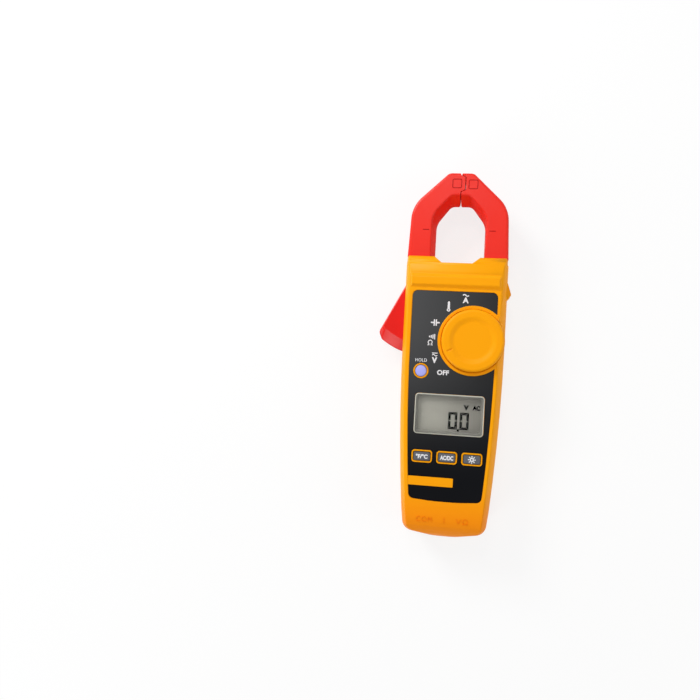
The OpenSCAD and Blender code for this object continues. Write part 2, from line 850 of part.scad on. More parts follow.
// Screw with a crossed recess, its head down at height z
module screw(x, y, z, top, cap_t) difference() {
    union() {
        post(x, y, z, z + cap_t, head_r);
        post(x, y, z, top, screw_r);
    }
    for (a = [0, 90]) {
        translate([x, y, z]) rotate(a) cube([slot_w, 1.6 * head_r, cap_t], center = true);
    }
}

module case_screws() color(metal_steel) in_frame() {
    for (s = screw_spots) {
        screw(s[0], s[1], screw_head_z, screw_top_z, head_t);
    }
}

// Power

module door_outline(inset) {
    translate([0, (door_foot + door_top) / 2])
        rounded_rect(2 * (door_half_w - inset), door_top - door_foot - 2 * inset, door_corner_r);
}

module battery_door() color(plastic_yellow) in_frame() difference() {
    union() {
        plate(0, door_t) door_outline(fit_gap);
        for (x = cell_xs) {
            block(x - door_tab_w / 2, x + door_tab_w / 2, bay_foot + fit_gap, bay_foot + door_tab_l,
                door_t, door_t + door_tab_l);
        }
    }
    post(0, door_screw_y, -over, door_t + over, screw_r + fit_gap);
    post(0, door_screw_y, -over, door_screw_z + door_head_t, head_r + fit_gap);
    for (i = [3:7]) {
        block(-grip_w / 2, grip_w / 2, door_foot + grip_pitch * i, door_foot + grip_pitch * (i + 0.5),
            -over, grip_d);
    }
}

module door_screw() color(metal_steel) in_frame()
    screw(0, door_screw_y, door_screw_z, door_boss_z - over, door_head_t);

module battery_cells() color("#5b6470") in_frame() {
    for (i = [0, 1]) {
        turned = i == 0 ? 0 : 180;
        translate([cell_xs[i], bay_foot + bay_l / 2, cell_z]) rotate(turned) rotate([-90, 0, 0]) {
            translate([0, 0, -cell_l / 2]) cylinder(h = cell_l - cell_cap_l, r = cell_d / 2 - fit_gap);
            translate([0, 0, cell_l / 2 - cell_cap_l]) cylinder(h = cell_cap_l, r = cell_cap_r);
        }
    }
}

module battery_contacts() color(metal_steel) in_frame() {
    nib_l = contact_room - contact_t - fit_gap;
    for (x = cell_xs) {
        for (end = [0, 1]) {
            y = bay_foot + end * (bay_l - contact_t);
            tip = end == 0 ? y + contact_t : y - nib_l;
            block(x - contact_w / 2, x + contact_w / 2, y, y + contact_t, cell_z - contact_w / 2,
                bay_top_z - move_gap);
            block(x - contact_nib / 2, x + contact_nib / 2, tip, tip + nib_l, cell_z - contact_nib / 2,
                cell_z + contact_nib / 2);
        }
    }
}

// Test-lead jacks

module jack_block() color(plastic_black) in_frame() difference() {
    intersection() {
        union() {
            for (x = jack_xs) {
                lying(x, 0, shroud_end + 2, shroud_out_r);
            }
            block(-jack_pitch / 2, jack_pitch / 2, 3 * wall, shroud_end, jack_z - 3, jack_z + 1.5);
        }
        plate(0, face_z) polygon(case_points(0));
    }
    for (x = jack_xs) {
        lying(x, -over, shroud_end, shroud_r);
        lying(x, 0, shroud_end + 3, jack_out_r);
    }
}

module jack(x) {
    tab_y = bay_foot - bay_wall - move_gap;
    difference() {
        union() {
            lying(x, jack_sink, tab_y, jack_out_r);
            block(x - 1, x + 1, tab_y - 2, tab_y, jack_z, board_z - board_t);
        }
        lying(x, jack_sink - over, jack_sink + jack_l, jack_bore_r);
    }
}

module com_jack() color(metal_brass) in_frame() jack(jack_xs[0]);

module volt_jack() color(metal_brass) in_frame() jack(jack_xs[1]);

// Board and display

module circuit_board() color("#1f6b3a") in_frame() difference() {
    block(-board_half_w, board_half_w, board_foot, board_top, board_z - board_t, board_z);
    block(-2 * board_half_w, -board_notch_x, board_notch_y, board_top + over, 0, face_z);
}

// Part soldered under the board, its middle at x and y
module chip(x, y, w, l, t) {
    block(x - w / 2, x + w / 2, y - l / 2, y + l / 2, under_z - t, under_z);
}

module board_components() color("#3a3c40") in_frame() {
    chip(-chip_x, knob_y - chip_drop, chip_w, chip_l, chip_t);
    chip(side_chip_x, knob_y - chip_drop, side_chip_w, side_chip_w, chip_t);
    chip(-relay_x, knob_y - relay_drop, relay_w, relay_l, relay_t);
    for (i = [0:2]) {
        chip((i - 2) * 2 * resistor_w, knob_y + resistor_rise, resistor_w, resistor_l, resistor_t);
    }
}

module dome_switches() color(metal_steel) in_frame() {
    post(-hold_x, hold_y, board_z, board_z + dome_t, dome_r - 0.1);
    for (x = key_xs) {
        post(x, key_y, board_z, board_z + dome_t, dome_r);
    }
}

module buzzer() color(metal_brass) in_frame() {
    post(knob_x - buzzer_in, knob_y + buzzer_rise, under_z - buzzer_t, under_z, buzzer_r);
}

module lcd_holder() color("#e8e6df") in_frame() translate([0, window_y]) difference() {
    plate(board_z, roof_z) square([glass_w + 2 * holder_wall, glass_h + 2 * holder_wall], center = true);
    plate(board_z - over, roof_z - glass_t) square([window_w, glass_h], center = true);
    plate(roof_z - glass_t, roof_z + over) square([glass_w, glass_h], center = true);
}

module lcd_glass() color("#9c9b90") in_frame() translate([0, window_y])
    plate(roof_z - glass_t, roof_z) square([glass_w - fit_gap, glass_h - fit_gap], center = true);

module backlight_guide() color("#dfe6ea") in_frame() translate([0, window_y])
    plate(roof_z - glass_t - guide_t, roof_z - glass_t)
        square([window_w - fit_gap, glass_h - 2 * (strip_in + strip_w)], center = true);

module elastomer_strips() color("#4a4c52") in_frame() {
    for (side = [-1, 1]) {
        y = window_y + side * (glass_h / 2 - strip_in);
        block(-window_w / 2 + strip_in, window_w / 2 - strip_in, y - strip_w / 2, y + strip_w / 2,
            board_z, roof_z - glass_t);
    }
}

module front_panel() color(plastic_black) in_frame() difference() {
    plate(floor_z, panel_z) panel_outline(0);
    post(knob_x, knob_y, 0, knob_z, ring_r + fit_gap);
    post(-hold_x, hold_y, 0, knob_z, hold_well_r + frame_w + fit_gap);
    for (x = key_xs) {
        translate([x, key_y]) plate(0, knob_z)
            rounded_rect(key_w + 2 * (frame_w + move_gap + fit_gap),
                key_h + 2 * (frame_w + move_gap + fit_gap), key_corner_r + frame_w);
    }
    translate([0, window_y]) plate(0, knob_z) rounded_rect(window_w, window_h, window_corner_r);
    plate(panel_z - bar_t / 2, knob_z) bar_outline(fit_gap);
}

module bar_outline(grow) {
    translate([bar_w / 2 - bar_left, panel_foot + bar_rise + bar_h / 2])
        rounded_rect(bar_w + 2 * grow, bar_h + 2 * grow, bar_corner_r);
}

module label_bar() color(plastic_yellow) in_frame()
    plate(panel_z - bar_t / 2, panel_z + bar_t / 2) bar_outline(0);

module display_lens() color("#b9bcb4") in_frame() translate([0, window_y]) {
    plate(floor_z, panel_z + lens_proud)
        rounded_rect(window_w - 2 * fit_gap, window_h - 2 * fit_gap, window_corner_r - fit_gap);
}

// Rotary switch

module rotary_knob() color(plastic_yellow) in_frame() translate([knob_x, knob_y]) difference() {
    dish_r = knob_r - knob_rim_w;
    union() {
        rotate_extrude($fn = 128) polygon(concat(
            [[0, knob_foot_z], [knob_r - knob_chamfer, knob_foot_z], [knob_r, knob_foot_z + knob_chamfer]],
            corner([knob_r, knob_foot_z], [knob_r - knob_taper, knob_z], [0, knob_z], knob_edge_r),
            [[dish_r, knob_z], [dish_r - dish_run / 3, knob_z - dish_d / 2],
             [dish_r - dish_run, knob_z - dish_d], [0, knob_z - dish_d]]
        ));
        translate([0, 0, rotor_z]) cylinder(h = knob_foot_z - rotor_z + over, r = shaft_r);
    }
    rotate(180 + detent_step) translate([knob_r - pointer_in - pointer_l, -pointer_w / 2, knob_z - pointer_d])
        cube([pointer_l, pointer_w, over]);
}

module switch_rotor() color("#d9d4c6") in_frame() translate([knob_x, knob_y]) difference() {
    union() {
        translate([0, 0, rotor_z]) cylinder(h = rotor_t, r = rotor_r);
        translate([0, 0, rotor_z]) cylinder(h = hub_top_z - rotor_z, r = hub_r);
    }
    translate([0, 0, rotor_z - over]) cylinder(h = hub_top_z - rotor_z + 2 * over, r = shaft_r);
    for (i = [-1:4]) {
        rotate(270 + i * detent_step) translate([rotor_r + notch_r / 2, 0, rotor_z - over])
            cylinder(h = rotor_t + 2 * over, r = notch_r);
    }
}

module wiper_contacts() color(metal_brass) in_frame() translate([knob_x, knob_y]) {
    foot = board_z + fit_gap;
    for (i = [0:2]) {
        rotate(120 * i) {
            block(hub_r, rotor_r - wiper_in, -wiper_w / 2, wiper_w / 2, rotor_z - wiper_t, rotor_z);
            block(rotor_r - wiper_in - wiper_w, rotor_r - wiper_in, -wiper_w / 2, wiper_w / 2,
                foot, rotor_z - wiper_t);
        }
    }
}

module detent_spring() color(metal_steel) in_frame() {
    y = detent_y + detent_post_r;
    end_x = detent_post_x + detent_post_r / 2;
    post(knob_x, y, rotor_z, rotor_z + rotor_t, notch_r - fit_gap);
    block(knob_x - end_x, knob_x + end_x, y, y + wiper_t, rotor_z, rotor_z + rotor_t);
}

// Keys

module key(x) {
    translate([x, key_y]) {
        plate(roof_z - move_gap - flange_t, roof_z - move_gap)
            rounded_rect(key_w + 2 * (move_gap + flange_w), key_h + 2 * (move_gap + flange_w), key_corner_r);
        plate(roof_z - move_gap - skin, key_top_z - key_edge) rounded_rect(key_w, key_h, key_corner_r);
        plate(key_top_z - key_edge, key_top_z)
            rounded_rect(key_w - key_edge, key_h - key_edge, key_corner_r - key_edge / 2);
    }
    post(x, key_y, stem_foot_z, roof_z - move_gap - flange_t + skin, stem_r);
}

module unit_key() color("#5a5b61") in_frame() key(key_xs[0]);

module acdc_key() color("#5a5b61") in_frame() key(key_xs[1]);

module backlight_key() color("#5a5b61") in_frame() key(key_xs[2]);

module hold_button() color("#b2b2ee") in_frame() translate([-hold_x, hold_y]) {
    edge_z = key_top_z - hold_crown / 2;
    rotate_extrude() polygon(concat(
        [[0, stem_foot_z], [stem_r, stem_foot_z], [stem_r, roof_z - move_gap - flange_t],
         [hold_well_r + flange_w, roof_z - move_gap - flange_t], [hold_well_r + flange_w, roof_z - move_gap],
         [hold_r, roof_z - move_gap]],
        corner([hold_r, roof_z], [hold_r, edge_z], [0, key_top_z], hold_edge_r),
        [[0, key_top_z]]
    ));
}

// Jaws, drawn for the right side and mirrored for the left

module jaw_outline() {
    half = jaw_half_points();
    polygon(concat(half, mirrored(half)));
}

module throat_outline() {
    half = throat_half_points();
    polygon(concat(half, mirrored(half)));
}

module jaw_ring() difference() {
    step = jaw_bevel * 0.3;
    hull() {
        plate(jaw_z, jaw_z + skin) offset(delta = -jaw_bevel) jaw_outline();
        plate(jaw_z + step, jaw_z + step + skin) offset(delta = -step) jaw_outline();
        plate(jaw_z + jaw_bevel, jaw_top_z - jaw_bevel) jaw_outline();
        plate(jaw_top_z - step - skin, jaw_top_z - step) offset(delta = -step) jaw_outline();
        plate(jaw_top_z - skin, jaw_top_z) offset(delta = -jaw_bevel) jaw_outline();
    }
    for (face = [jaw_z - skin, jaw_top_z]) {
        hull() {
            plate(face, face + skin) throat_outline();
            plate(jaw_mid_z - skin, jaw_mid_z + skin) translate([0, -throat_fall])
                offset(delta = -throat_flare) throat_outline();
        }
    }
    block(-case_w, case_w, 0, case_l, 0, face_z);
}

module core_outline(play) difference() {
    offset(delta = -core_out + play) jaw_outline();
    offset(delta = core_in - play) throat_outline();
    translate([-case_w, 0]) square([2 * case_w, case_l + 1 - play]);
}

module gear_sector(angles) {
    plate(gear_z, gear_z + gear_t) {
        for (a = angles) {
            rotate(a) polygon(tooth_points());
        }
        intersection() {
            circle(r = gear_root_r);
            polygon([[0, 0], for (a = [angles[0], angles[len(angles) - 1]], s = [-1, 1])
                2 * pivot_x * [cos(a + s * tooth_step / 3), sin(a + s * tooth_step / 3)]]);
        }
    }
}

// Neck and knuckle of the right jaw, inside the case
module jaw_root() difference() {
    union() {
        block(neck_in, neck_out, pivot_y, case_l + neck_lap, jaw_z, jaw_top_z);
        post(pivot_x, pivot_y, jaw_z, jaw_top_z, knuckle_r);
    }
    block(neck_in + neck_wall, neck_out - neck_wall, pivot_y + knuckle_r + neck_wall, case_l + over,
        jaw_mid_z - neck_slot / 2, jaw_mid_z + neck_slot / 2);
}

module jaw_cavity() {
    plate(jaw_mid_z - core_t / 2 - cavity_play, jaw_mid_z + core_t / 2 + cavity_play)
        core_outline(cavity_play);
    both_sides() winding_block(fit_gap);
}

module strap_outline() {
    end_x = pivot_x - trigger_in - over;
    circle(r = knuckle_r - strap_in);
    translate([-strap_key_w / 2, 0]) square([strap_key_w, knuckle_r + neck_lap]);
    polygon([
        [0, knuckle_r - strap_in], [end_x, -strap_rise], [end_x, -strap_drop], [0, strap_in - knuckle_r]
    ]);
}

module left_jaw() color(plastic_red) in_frame() difference() {
    union() {
        difference() {
            intersection() {
                jaw_ring();
                plate(0, face_z) polygon(left_of_split(-tip_gap / 2));
            }
            jaw_cavity();
        }
        mirror([1, 0, 0]) jaw_root();
        translate([-pivot_x, pivot_y]) gear_sector([-tooth_step, 0]);
    }
    post(-pivot_x, pivot_y, 0, face_z, pin_r + pin_gap);
    post(-pivot_x, pivot_y, spring_seat_z, face_z, spring_room_r);
    translate([-pivot_x, pivot_y]) plate(strap_z, strap_z + strap_t) strap_outline();
}

module right_jaw() color(plastic_red) in_frame() difference() {
    union() {
        difference() {
            jaw_ring();
            plate(0, face_z) polygon(left_of_split(tip_gap / 2));
            jaw_cavity();
        }
        jaw_root();
        translate([pivot_x, pivot_y]) mirror([1, 0, 0])
            gear_sector([-1.5 * tooth_step, -0.5 * tooth_step, 0.5 * tooth_step]);
    }
    post(pivot_x, pivot_y, 0, face_z, pin_r + pin_gap);
}

module core_half(x0, x1) {
    intersection() {
        plate(jaw_mid_z - core_t / 2, jaw_mid_z + core_t / 2) core_outline(0);
        block(x0, x1, 0, jaw_tip, 0, face_z);
    }
}

module left_core() color(metal_steel) in_frame() core_half(-case_w, -tip_gap - 1.2);

module right_core() color(metal_steel) in_frame() core_half(tongue_reach + tip_gap + 1.2, case_w);

module winding_block(grow) {
    block(coil_x - coil_w / 2 - grow, coil_x + coil_w / 2 + grow, coil_foot - grow, coil_foot + coil_l + grow,
        jaw_mid_z - coil_t / 2 - grow, jaw_mid_z + coil_t / 2 + grow);
}

module winding() difference() {
    winding_block(0);
    plate(jaw_mid_z - core_t / 2, jaw_mid_z + core_t / 2) difference() {
        core_outline(0);
        translate([-case_w, 0]) square([case_w, total_l]);
    }
}

module left_winding() color("#b3682c") in_frame() mirror([1, 0, 0]) winding();

module right_winding() color("#b3682c") in_frame() winding();

module trigger_outline() {
    tip = [-trigger_reach, pivot_y - trigger_tip_drop];
    top = [-case_w / 2, trigger_top_y];
    from = 360 + atan2(-trigger_tip_drop, pivot_x - trigger_reach) + tip_turn;
    sweep_end = 180 + acos((trigger_in - pivot_x) / trigger_sweep_r);
    sweep = [for (i = [0:8]) let (a = from + (sweep_end - from) * i / 8)
        [-pivot_x, pivot_y] + trigger_sweep_r * [cos(a), sin(a)]];
    polygon(concat([[-trigger_in, trigger_top_y], top], corner(top, tip, sweep[0], trigger_tip_r), sweep));
}

// Front face of the trigger, short of its lower edge by the bevel
module trigger_face() intersection() {
    offset(delta = -trigger_edge) trigger_outline();
    translate([-pivot_x, pivot_y]) circle(r = trigger_sweep_r - trigger_bevel_w);
}

module trigger() color(plastic_red) in_frame() difference() {
    union() {
        hull() {
            plate(trigger_z, trigger_z + skin) offset(delta = -trigger_edge) trigger_outline();
            plate(trigger_z + trigger_edge, trigger_z + trigger_t - trigger_bevel_d) trigger_outline();
            plate(trigger_z + trigger_t - skin, trigger_z + trigger_t) trigger_face();
        }
        translate([-pivot_x, pivot_y]) plate(strap_z, strap_z + strap_t) strap_outline();
    }
    post(-pivot_x, pivot_y, 0, face_z, pin_r + pin_gap);
}

module pivot_pin(x) {
    post(x, pivot_y, pin_foot_z, pin_head_z, pin_r);
}

module left_pivot_pin() color(metal_steel) in_frame() pivot_pin(-pivot_x);

module right_pivot_pin() color(metal_steel) in_frame() pivot_pin(pivot_x);

// Torsion spring round the left pin: one round wire carried along a helix
module return_spring() color(metal_steel) in_frame() {
    count = spring_turns * spring_steps;
    foot = spring_seat_z + spring_wire_r + 0.2;
    points = [for (i = [0:count], k = [0:spring_sides - 1])
        let (a = 360 * i / spring_steps, b = 360 * k / spring_sides, r = spring_r + spring_wire_r * cos(b))
        [r * cos(a), r * sin(a), foot + spring_pitch * i / spring_steps + spring_wire_r * sin(b)]];
    skin_faces = [for (i = [0:count - 1], k = [0:spring_sides - 1])
        let (a = i * spring_sides + k, b = i * spring_sides + (k + 1) % spring_sides)
        each [[a, b, b + spring_sides], [a, b + spring_sides, a + spring_sides]]];
    end_faces = [for (k = [1:spring_sides - 2])
        let (last = count * spring_sides)
        each [[0, k + 1, k], [last, last + k, last + k + 1]]];
    translate([-pivot_x, pivot_y]) polyhedron(points, concat(skin_faces, end_faces));
}

// Leads of the windings, clipped to the board's upper edge
module jaw_leads() color("#202124") in_frame() {
    for (x = [-lead_x, lead_x]) {
        translate([x, board_top - lead_lap, board_z + lead_r]) rotate([-90, 0, 0])
            cylinder(h = lead_l, r = lead_r);
    }
}

rear_cover();
battery_door();
door_screw();
battery_cells();
battery_contacts();
jack_block();
com_jack();
volt_jack();
circuit_board();
board_components();
dome_switches();
buzzer();
lcd_holder();
backlight_guide();
elastomer_strips();
lcd_glass();
front_cover();
front_panel();
label_bar();
display_lens();
case_screws();
detent_spring();
rotary_knob();
switch_rotor();
wiper_contacts();
hold_button();
unit_key();
acdc_key();
backlight_key();
left_pivot_pin();
right_pivot_pin();
return_spring();
jaw_leads();
left_jaw();
left_core();
left_winding();
trigger();
right_jaw();
right_core();
right_winding();
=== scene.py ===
import math

import bmesh
import bpy
import numpy as np
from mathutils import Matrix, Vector


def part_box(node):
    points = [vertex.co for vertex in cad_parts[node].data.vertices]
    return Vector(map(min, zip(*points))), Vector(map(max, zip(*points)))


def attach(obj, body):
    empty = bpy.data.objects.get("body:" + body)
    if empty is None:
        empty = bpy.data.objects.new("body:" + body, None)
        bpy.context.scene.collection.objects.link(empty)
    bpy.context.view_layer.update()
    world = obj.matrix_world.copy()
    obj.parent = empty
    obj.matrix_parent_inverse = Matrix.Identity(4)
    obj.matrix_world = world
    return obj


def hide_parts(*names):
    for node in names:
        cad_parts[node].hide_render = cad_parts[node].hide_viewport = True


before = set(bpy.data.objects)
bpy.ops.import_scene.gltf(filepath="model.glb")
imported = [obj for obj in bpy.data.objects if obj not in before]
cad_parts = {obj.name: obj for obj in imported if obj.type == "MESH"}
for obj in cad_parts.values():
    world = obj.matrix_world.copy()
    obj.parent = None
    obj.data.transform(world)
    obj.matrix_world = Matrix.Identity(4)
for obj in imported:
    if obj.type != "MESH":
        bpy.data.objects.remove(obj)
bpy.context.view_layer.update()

# Rear cover
# The back half of the case: one injection moulding in yellow ABS with a spark-eroded grain. It holds
# the battery bay, the screw bosses and the lower seats of the jaw pins.
MM = 0.001
FOOT_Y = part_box("front_cover")[0].y
EDGE_ROUND = 0.25 * MM
SHARP_ANGLE, POINTED_ANGLE, COVER_SHARP = math.radians(40), math.radians(25), math.radians(58)
# corners this near are one, faces this flat are one, and a smaller fold than this doesn't count
SAME_PLACE, FLAT_ANGLE, FOLD = 0.002 * MM, math.radians(0.5), 1e-11
# noise waves per metre, for the drift of the colour and for the patches of gloss
DRIFT_SCALE, PATCH_SCALE = 26.0, 90.0
# place of the colour among the outputs of a Mix node
MIXED_COLOUR = 2
# painted shade: the yellow darkens towards the foot, where the light from the top end falls off; its
# colour, and the stations where it starts and is full
FOOT_SHADE, SHADE_START, SHADE_END = (249, 143, 4), 34.0, 8.0


def station(y):
    """Frame coordinate of a distance from the jack end, in millimetres."""
    return FOOT_Y + y * MM


def paint(red, green, blue):
    """Linear colour of an 8-bit screen colour: ((c + 0.055) / 1.055) ^ 2.4, or c / 12.92 near black."""
    c = np.array([red, green, blue]) / 255
    return (*np.where(c > 0.04045, ((c + 0.055) / 1.055) ** 2.4, c / 12.92), 1.0)


def in_scene(name, data):
    """Object that holds a mesh, a curve, a lamp or a camera, in the scene."""
    obj = bpy.data.objects.new(name, data)
    bpy.context.scene.collection.objects.link(obj)
    return obj


def add_node(tree, kind, settings=None, **inputs):
    """Node of that kind in a tree. Settings are its properties; inputs are values or the sockets that
    feed it, keyed by the socket's identifier or by its name with _ for blanks."""
    made = tree.nodes.new(kind)
    for key, value in (settings or {}).items():
        setattr(made, key, value)
    for key, value in inputs.items():
        names = (key, key.replace("_", " "))
        socket = next(s for s in made.inputs if s.identifier in names or s.name in names)
        if isinstance(value, bpy.types.NodeSocket):
            tree.links.new(value, socket)
        else:
            socket.default_value = value
    return made


def object_place(tree):
    """Socket that gives a point's place in the object's own coordinates."""
    return add_node(tree, "ShaderNodeTexCoord").outputs["Object"]


def blank_material(name):
    """New material and its node tree, which is empty."""
    material = bpy.data.materials.new(name)
    material.use_nodes = True
    material.node_tree.nodes.clear()
    return material, material.node_tree


def shader_group(name, inputs, outputs):
    """Shader group with those sockets, each a name and a kind; returns it with its two end nodes."""
    group = bpy.data.node_groups.new(name, "ShaderNodeTree")
    for label, kind in inputs.items():
        group.interface.new_socket(label, in_out="INPUT", socket_type="NodeSocket" + kind)
    for label, kind in outputs.items():
        group.interface.new_socket(label, in_out="OUTPUT", socket_type="NodeSocket" + kind)
    return group, group.nodes.new("NodeGroupInput"), group.nodes.new("NodeGroupOutput")


def make_moulded_skin():
    """Moulded plastic: the colour drifts between two tints over a few centimetres, handling leaves
    patches of gloss, and the height is the fine grain of the mould."""
    group, given, out = shader_group(
        "moulded_skin",
        {"Light": "Color", "Dark": "Color", "Grain": "Float", "Gloss": "Float", "Smudge": "Float"},
        {"Color": "Color", "Roughness": "Float", "Height": "Float"},
    )
    place = object_place(group)
    drift = add_node(group, "ShaderNodeTexNoise", Vector=place, Scale=DRIFT_SCALE, Detail=2.0)
    tint = add_node(group, "ShaderNodeMix", {"data_type": "RGBA"}, Factor_Float=drift.outputs["Fac"],
                    A_Color=given.outputs["Dark"], B_Color=given.outputs["Light"])
    patch = add_node(group, "ShaderNodeTexNoise", Vector=place, Scale=PATCH_SCALE, Detail=3.0)
    centred = add_node(group, "ShaderNodeMath", {"operation": "SUBTRACT"}, Value=patch.outputs["Fac"])
    spread = add_node(group, "ShaderNodeMath", {"operation": "MULTIPLY_ADD"}, Value=centred.outputs[0],
                      Value_001=given.outputs["Smudge"], Value_002=given.outputs["Gloss"])
    grain = add_node(group, "ShaderNodeTexNoise", Vector=place, Scale=given.outputs["Grain"], Detail=2.0)
    group.links.new(tint.outputs[MIXED_COLOUR], out.inputs["Color"])
    group.links.new(spread.outputs[0], out.inputs["Roughness"])
    group.links.new(grain.outputs["Fac"], out.inputs["Height"])
    return group


moulded_skin = make_moulded_skin()


def moulded(name, light, dark, grain=2400.0, gloss=0.45, smudge=0.12, depth=0.03, **shader):
    """Material of a moulded plastic or plain metal: the skin feeds colour, roughness and a bump. Light
    and dark are its two tints, and depth is the grain's, in millimetres."""
    material, tree = blank_material(name)
    skin = add_node(tree, "ShaderNodeGroup", {"node_tree": moulded_skin}, Light=paint(*light),
                    Dark=paint(*dark), Grain=grain, Gloss=gloss, Smudge=smudge)
    bump = add_node(tree, "ShaderNodeBump", Height=skin.outputs["Height"], Distance=depth * MM)
    body = add_node(tree, "ShaderNodeBsdfPrincipled", Base_Color=skin.outputs["Color"],
                    Roughness=skin.outputs["Roughness"], Normal=bump.outputs["Normal"], **shader)
    add_node(tree, "ShaderNodeOutputMaterial", Surface=body.outputs["BSDF"])
    return material


def main_shader(tree):
    """The one surface shader of a moulded material."""
    return next(node for node in tree.nodes if node.type == "BSDF_PRINCIPLED")


def piece(name, mesh, body, material, stands_for=()):
    """Object for a finished mesh, at the origin, that rides on a body and stands for CAD nodes."""
    obj = in_scene(name, mesh)
    mesh.materials.clear()
    mesh.materials.append(material)
    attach(obj, body)
    if stands_for:
        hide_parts(*stands_for)
    return obj


def joined_copy(node):
    """The node's triangles as one surface: equal corners merged, flat neighbours made one face."""
    work = bmesh.new()
    work.from_mesh(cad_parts[node].data)
    bmesh.ops.remove_doubles(work, verts=work.verts, dist=SAME_PLACE)
    bmesh.ops.dissolve_limit(work, angle_limit=FLAT_ANGLE, verts=work.verts, edges=work.edges)
    return work


def finished(work, name, sharp_angle=SHARP_ANGLE):
    """Mesh of a bmesh, shaded smooth up to an angle between faces."""
    mesh = bpy.data.meshes.new(name)
    work.to_mesh(mesh)
    work.free()
    mesh.shade_smooth()
    mesh.set_sharp_from_angle(angle=sharp_angle)
    return mesh


def keep_unfolded(work, radius, segments):
    """Takes the rounding off edges where it would fold a face over. It is tried on a copy: a triangle
    that points against its own face shows a fold, and the face that it came from keeps its edges
    sharp."""
    weight = work.edges.layers.float["bevel_weight_edge"]
    origin = work.faces.layers.int.new("origin")
    for face in work.faces:
        face[origin] = face.index
    folded = {None}
    while folded:
        trial = work.copy()
        layer = trial.edges.layers.float["bevel_weight_edge"]
        rounded = [edge for edge in trial.edges if edge[layer]]
        bmesh.ops.bevel(trial, geom=rounded, offset=radius, segments=segments, profile=0.5,
                        affect="EDGES", clamp_overlap=False)
        trial.normal_update()
        layer = trial.faces.layers.int["origin"]
        folded = {a.face[layer] for a, b, c in trial.calc_loop_triangles()
                  if (b.vert.co - a.vert.co).cross(c.vert.co - a.vert.co).dot(a.face.normal) < -FOLD}
        trial.free()
        sources = [face for face in work.faces if face[origin] in folded]
        edges = {edge for face in sources for edge in face.edges if edge[weight]}
        folded = folded if edges else set()
        for edge in edges:
            edge[weight] = 0
    work.faces.layers.int.remove(origin)


def softened(node, body, material, radius=EDGE_ROUND, segments=2, sharp_angle=SHARP_ANGLE):
    """The node's own form with its outer edges rounded to a radius. An inner edge stays sharp, and so
    does one that ends in a pointed corner or that has no room for the radius."""
    work = joined_copy(node)
    weight = work.edges.layers.float.new("bevel_weight_edge")
    for edge in work.edges:
        corners = (loop.calc_angle() for vert in edge.verts for loop in vert.link_loops)
        blunt = edge.is_convex and edge.calc_face_angle(0) > sharp_angle
        edge[weight] = blunt and min(corners) > POINTED_ANGLE
    keep_unfolded(work, radius, segments)
    mesh = finished(work, node + "_form", sharp_angle)
    obj = piece(node + "_form", mesh, body, material, [node])
    edges = obj.modifiers.new("edge_round", "BEVEL")
    edges.width, edges.segments, edges.limit_method = radius, segments, "WEIGHT"
    edges.use_clamp_overlap = False
    shading = obj.modifiers.new("flat_faces", "WEIGHTED_NORMAL")
    shading.keep_sharp = True


def dress(material, *nodes):
    """Gives CAD nodes that keep their own form a material."""
    for node in nodes:
        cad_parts[node].material_slots[0].material = material


def paint_foot_shade(material, colour, start, end):
    """Paints shade into a moulded material along the case: mixes another colour in, from none at one
    station to all of it at another."""
    tree = material.node_tree
    shader = main_shader(tree)
    along = add_node(tree, "ShaderNodeSeparateXYZ", Vector=object_place(tree)).outputs["Y"]
    share = add_node(tree, "ShaderNodeMapRange", {"interpolation_type": "SMOOTHSTEP"}, Value=along,
                     From_Min=station(start), From_Max=station(end))
    skin_colour = shader.inputs["Base Color"].links[0].from_socket
    tint = add_node(tree, "ShaderNodeMix", {"data_type": "RGBA"}, Factor_Float=share.outputs["Result"],
                    A_Color=skin_colour, B_Color=paint(*colour))
    tree.links.new(tint.outputs[MIXED_COLOUR], shader.inputs["Base Color"])


case_yellow = moulded("case_yellow", (253, 169, 2), (249, 158, 0), gloss=0.4, Specular_IOR_Level=0.12)
# painted shade: the case yellow deepens towards the foot
paint_foot_shade(case_yellow, FOOT_SHADE, SHADE_START, SHADE_END)
softened("rear_cover", "case", case_yellow, sharp_angle=COVER_SHARP)

# Battery bay
# Two wrapped cells between sprung steel contacts, under a flush door of the case plastic that one
# screw holds.
DOOR_EDGE, SCREW_EDGE = 0.3 * MM, 0.12 * MM
steel = moulded("bright_steel", (196, 198, 202), (168, 171, 176), grain=900.0, gloss=0.28, depth=0.01,
                Metallic=1.0)
cell_wrap = moulded("cell_wrap", (96, 104, 116), (70, 78, 90), gloss=0.3)
dress(cell_wrap, "battery_cells")
dress(steel, "battery_contacts")
softened("battery_door", "case", case_yellow, radius=DOOR_EDGE)
softened("door_screw", "case", steel, radius=SCREW_EDGE)

# Input jacks
# Two turned brass sleeves in a black shrouded block, moulded in plastic, at the foot of the case. The
# two covers hold the block between them.
BLOCK_EDGE = 0.2 * MM
brass = moulded("turned_brass", (214, 178, 98), (190, 148, 66), grain=1600.0, gloss=0.25, depth=0.01,
                Metallic=1.0)
socket_black = moulded("socket_black", (34, 34, 36), (22, 22, 24), gloss=0.45)
dress(brass, "com_jack", "volt_jack")
softened("jack_block", "case", socket_black, radius=BLOCK_EDGE)

# Circuit board
# A green board with the meter chip, relay and resistors below it, snap domes under the keys and a
# buzzer; two leads run on to the jaws.
board_green = moulded("board_green", (38, 112, 62), (28, 92, 50), grain=3000.0, gloss=0.35)
chip_black = moulded("chip_black", (52, 53, 57), (36, 37, 40), gloss=0.5)
dress(board_green, "circuit_board")
dress(chip_black, "board_components", "jaw_leads")
dress(steel, "dome_switches", "detent_spring")
dress(brass, "buzzer")

# Display
# A reflective liquid-crystal glass in a white holder, over a light guide and two contact strips. Its
# dark segments read 0.0 V AC.
DIGIT_W, DIGIT_H, SEGMENT_W, SEGMENT_GAP = 5.1, 9.6, 1.45, 0.08
DIGIT_PLACES = [(2.1, 65.6), (8.55, 65.6)]
POINT_SIZE, POINT_PLACE = (1.2, 1.4), (5.3, 60.4)
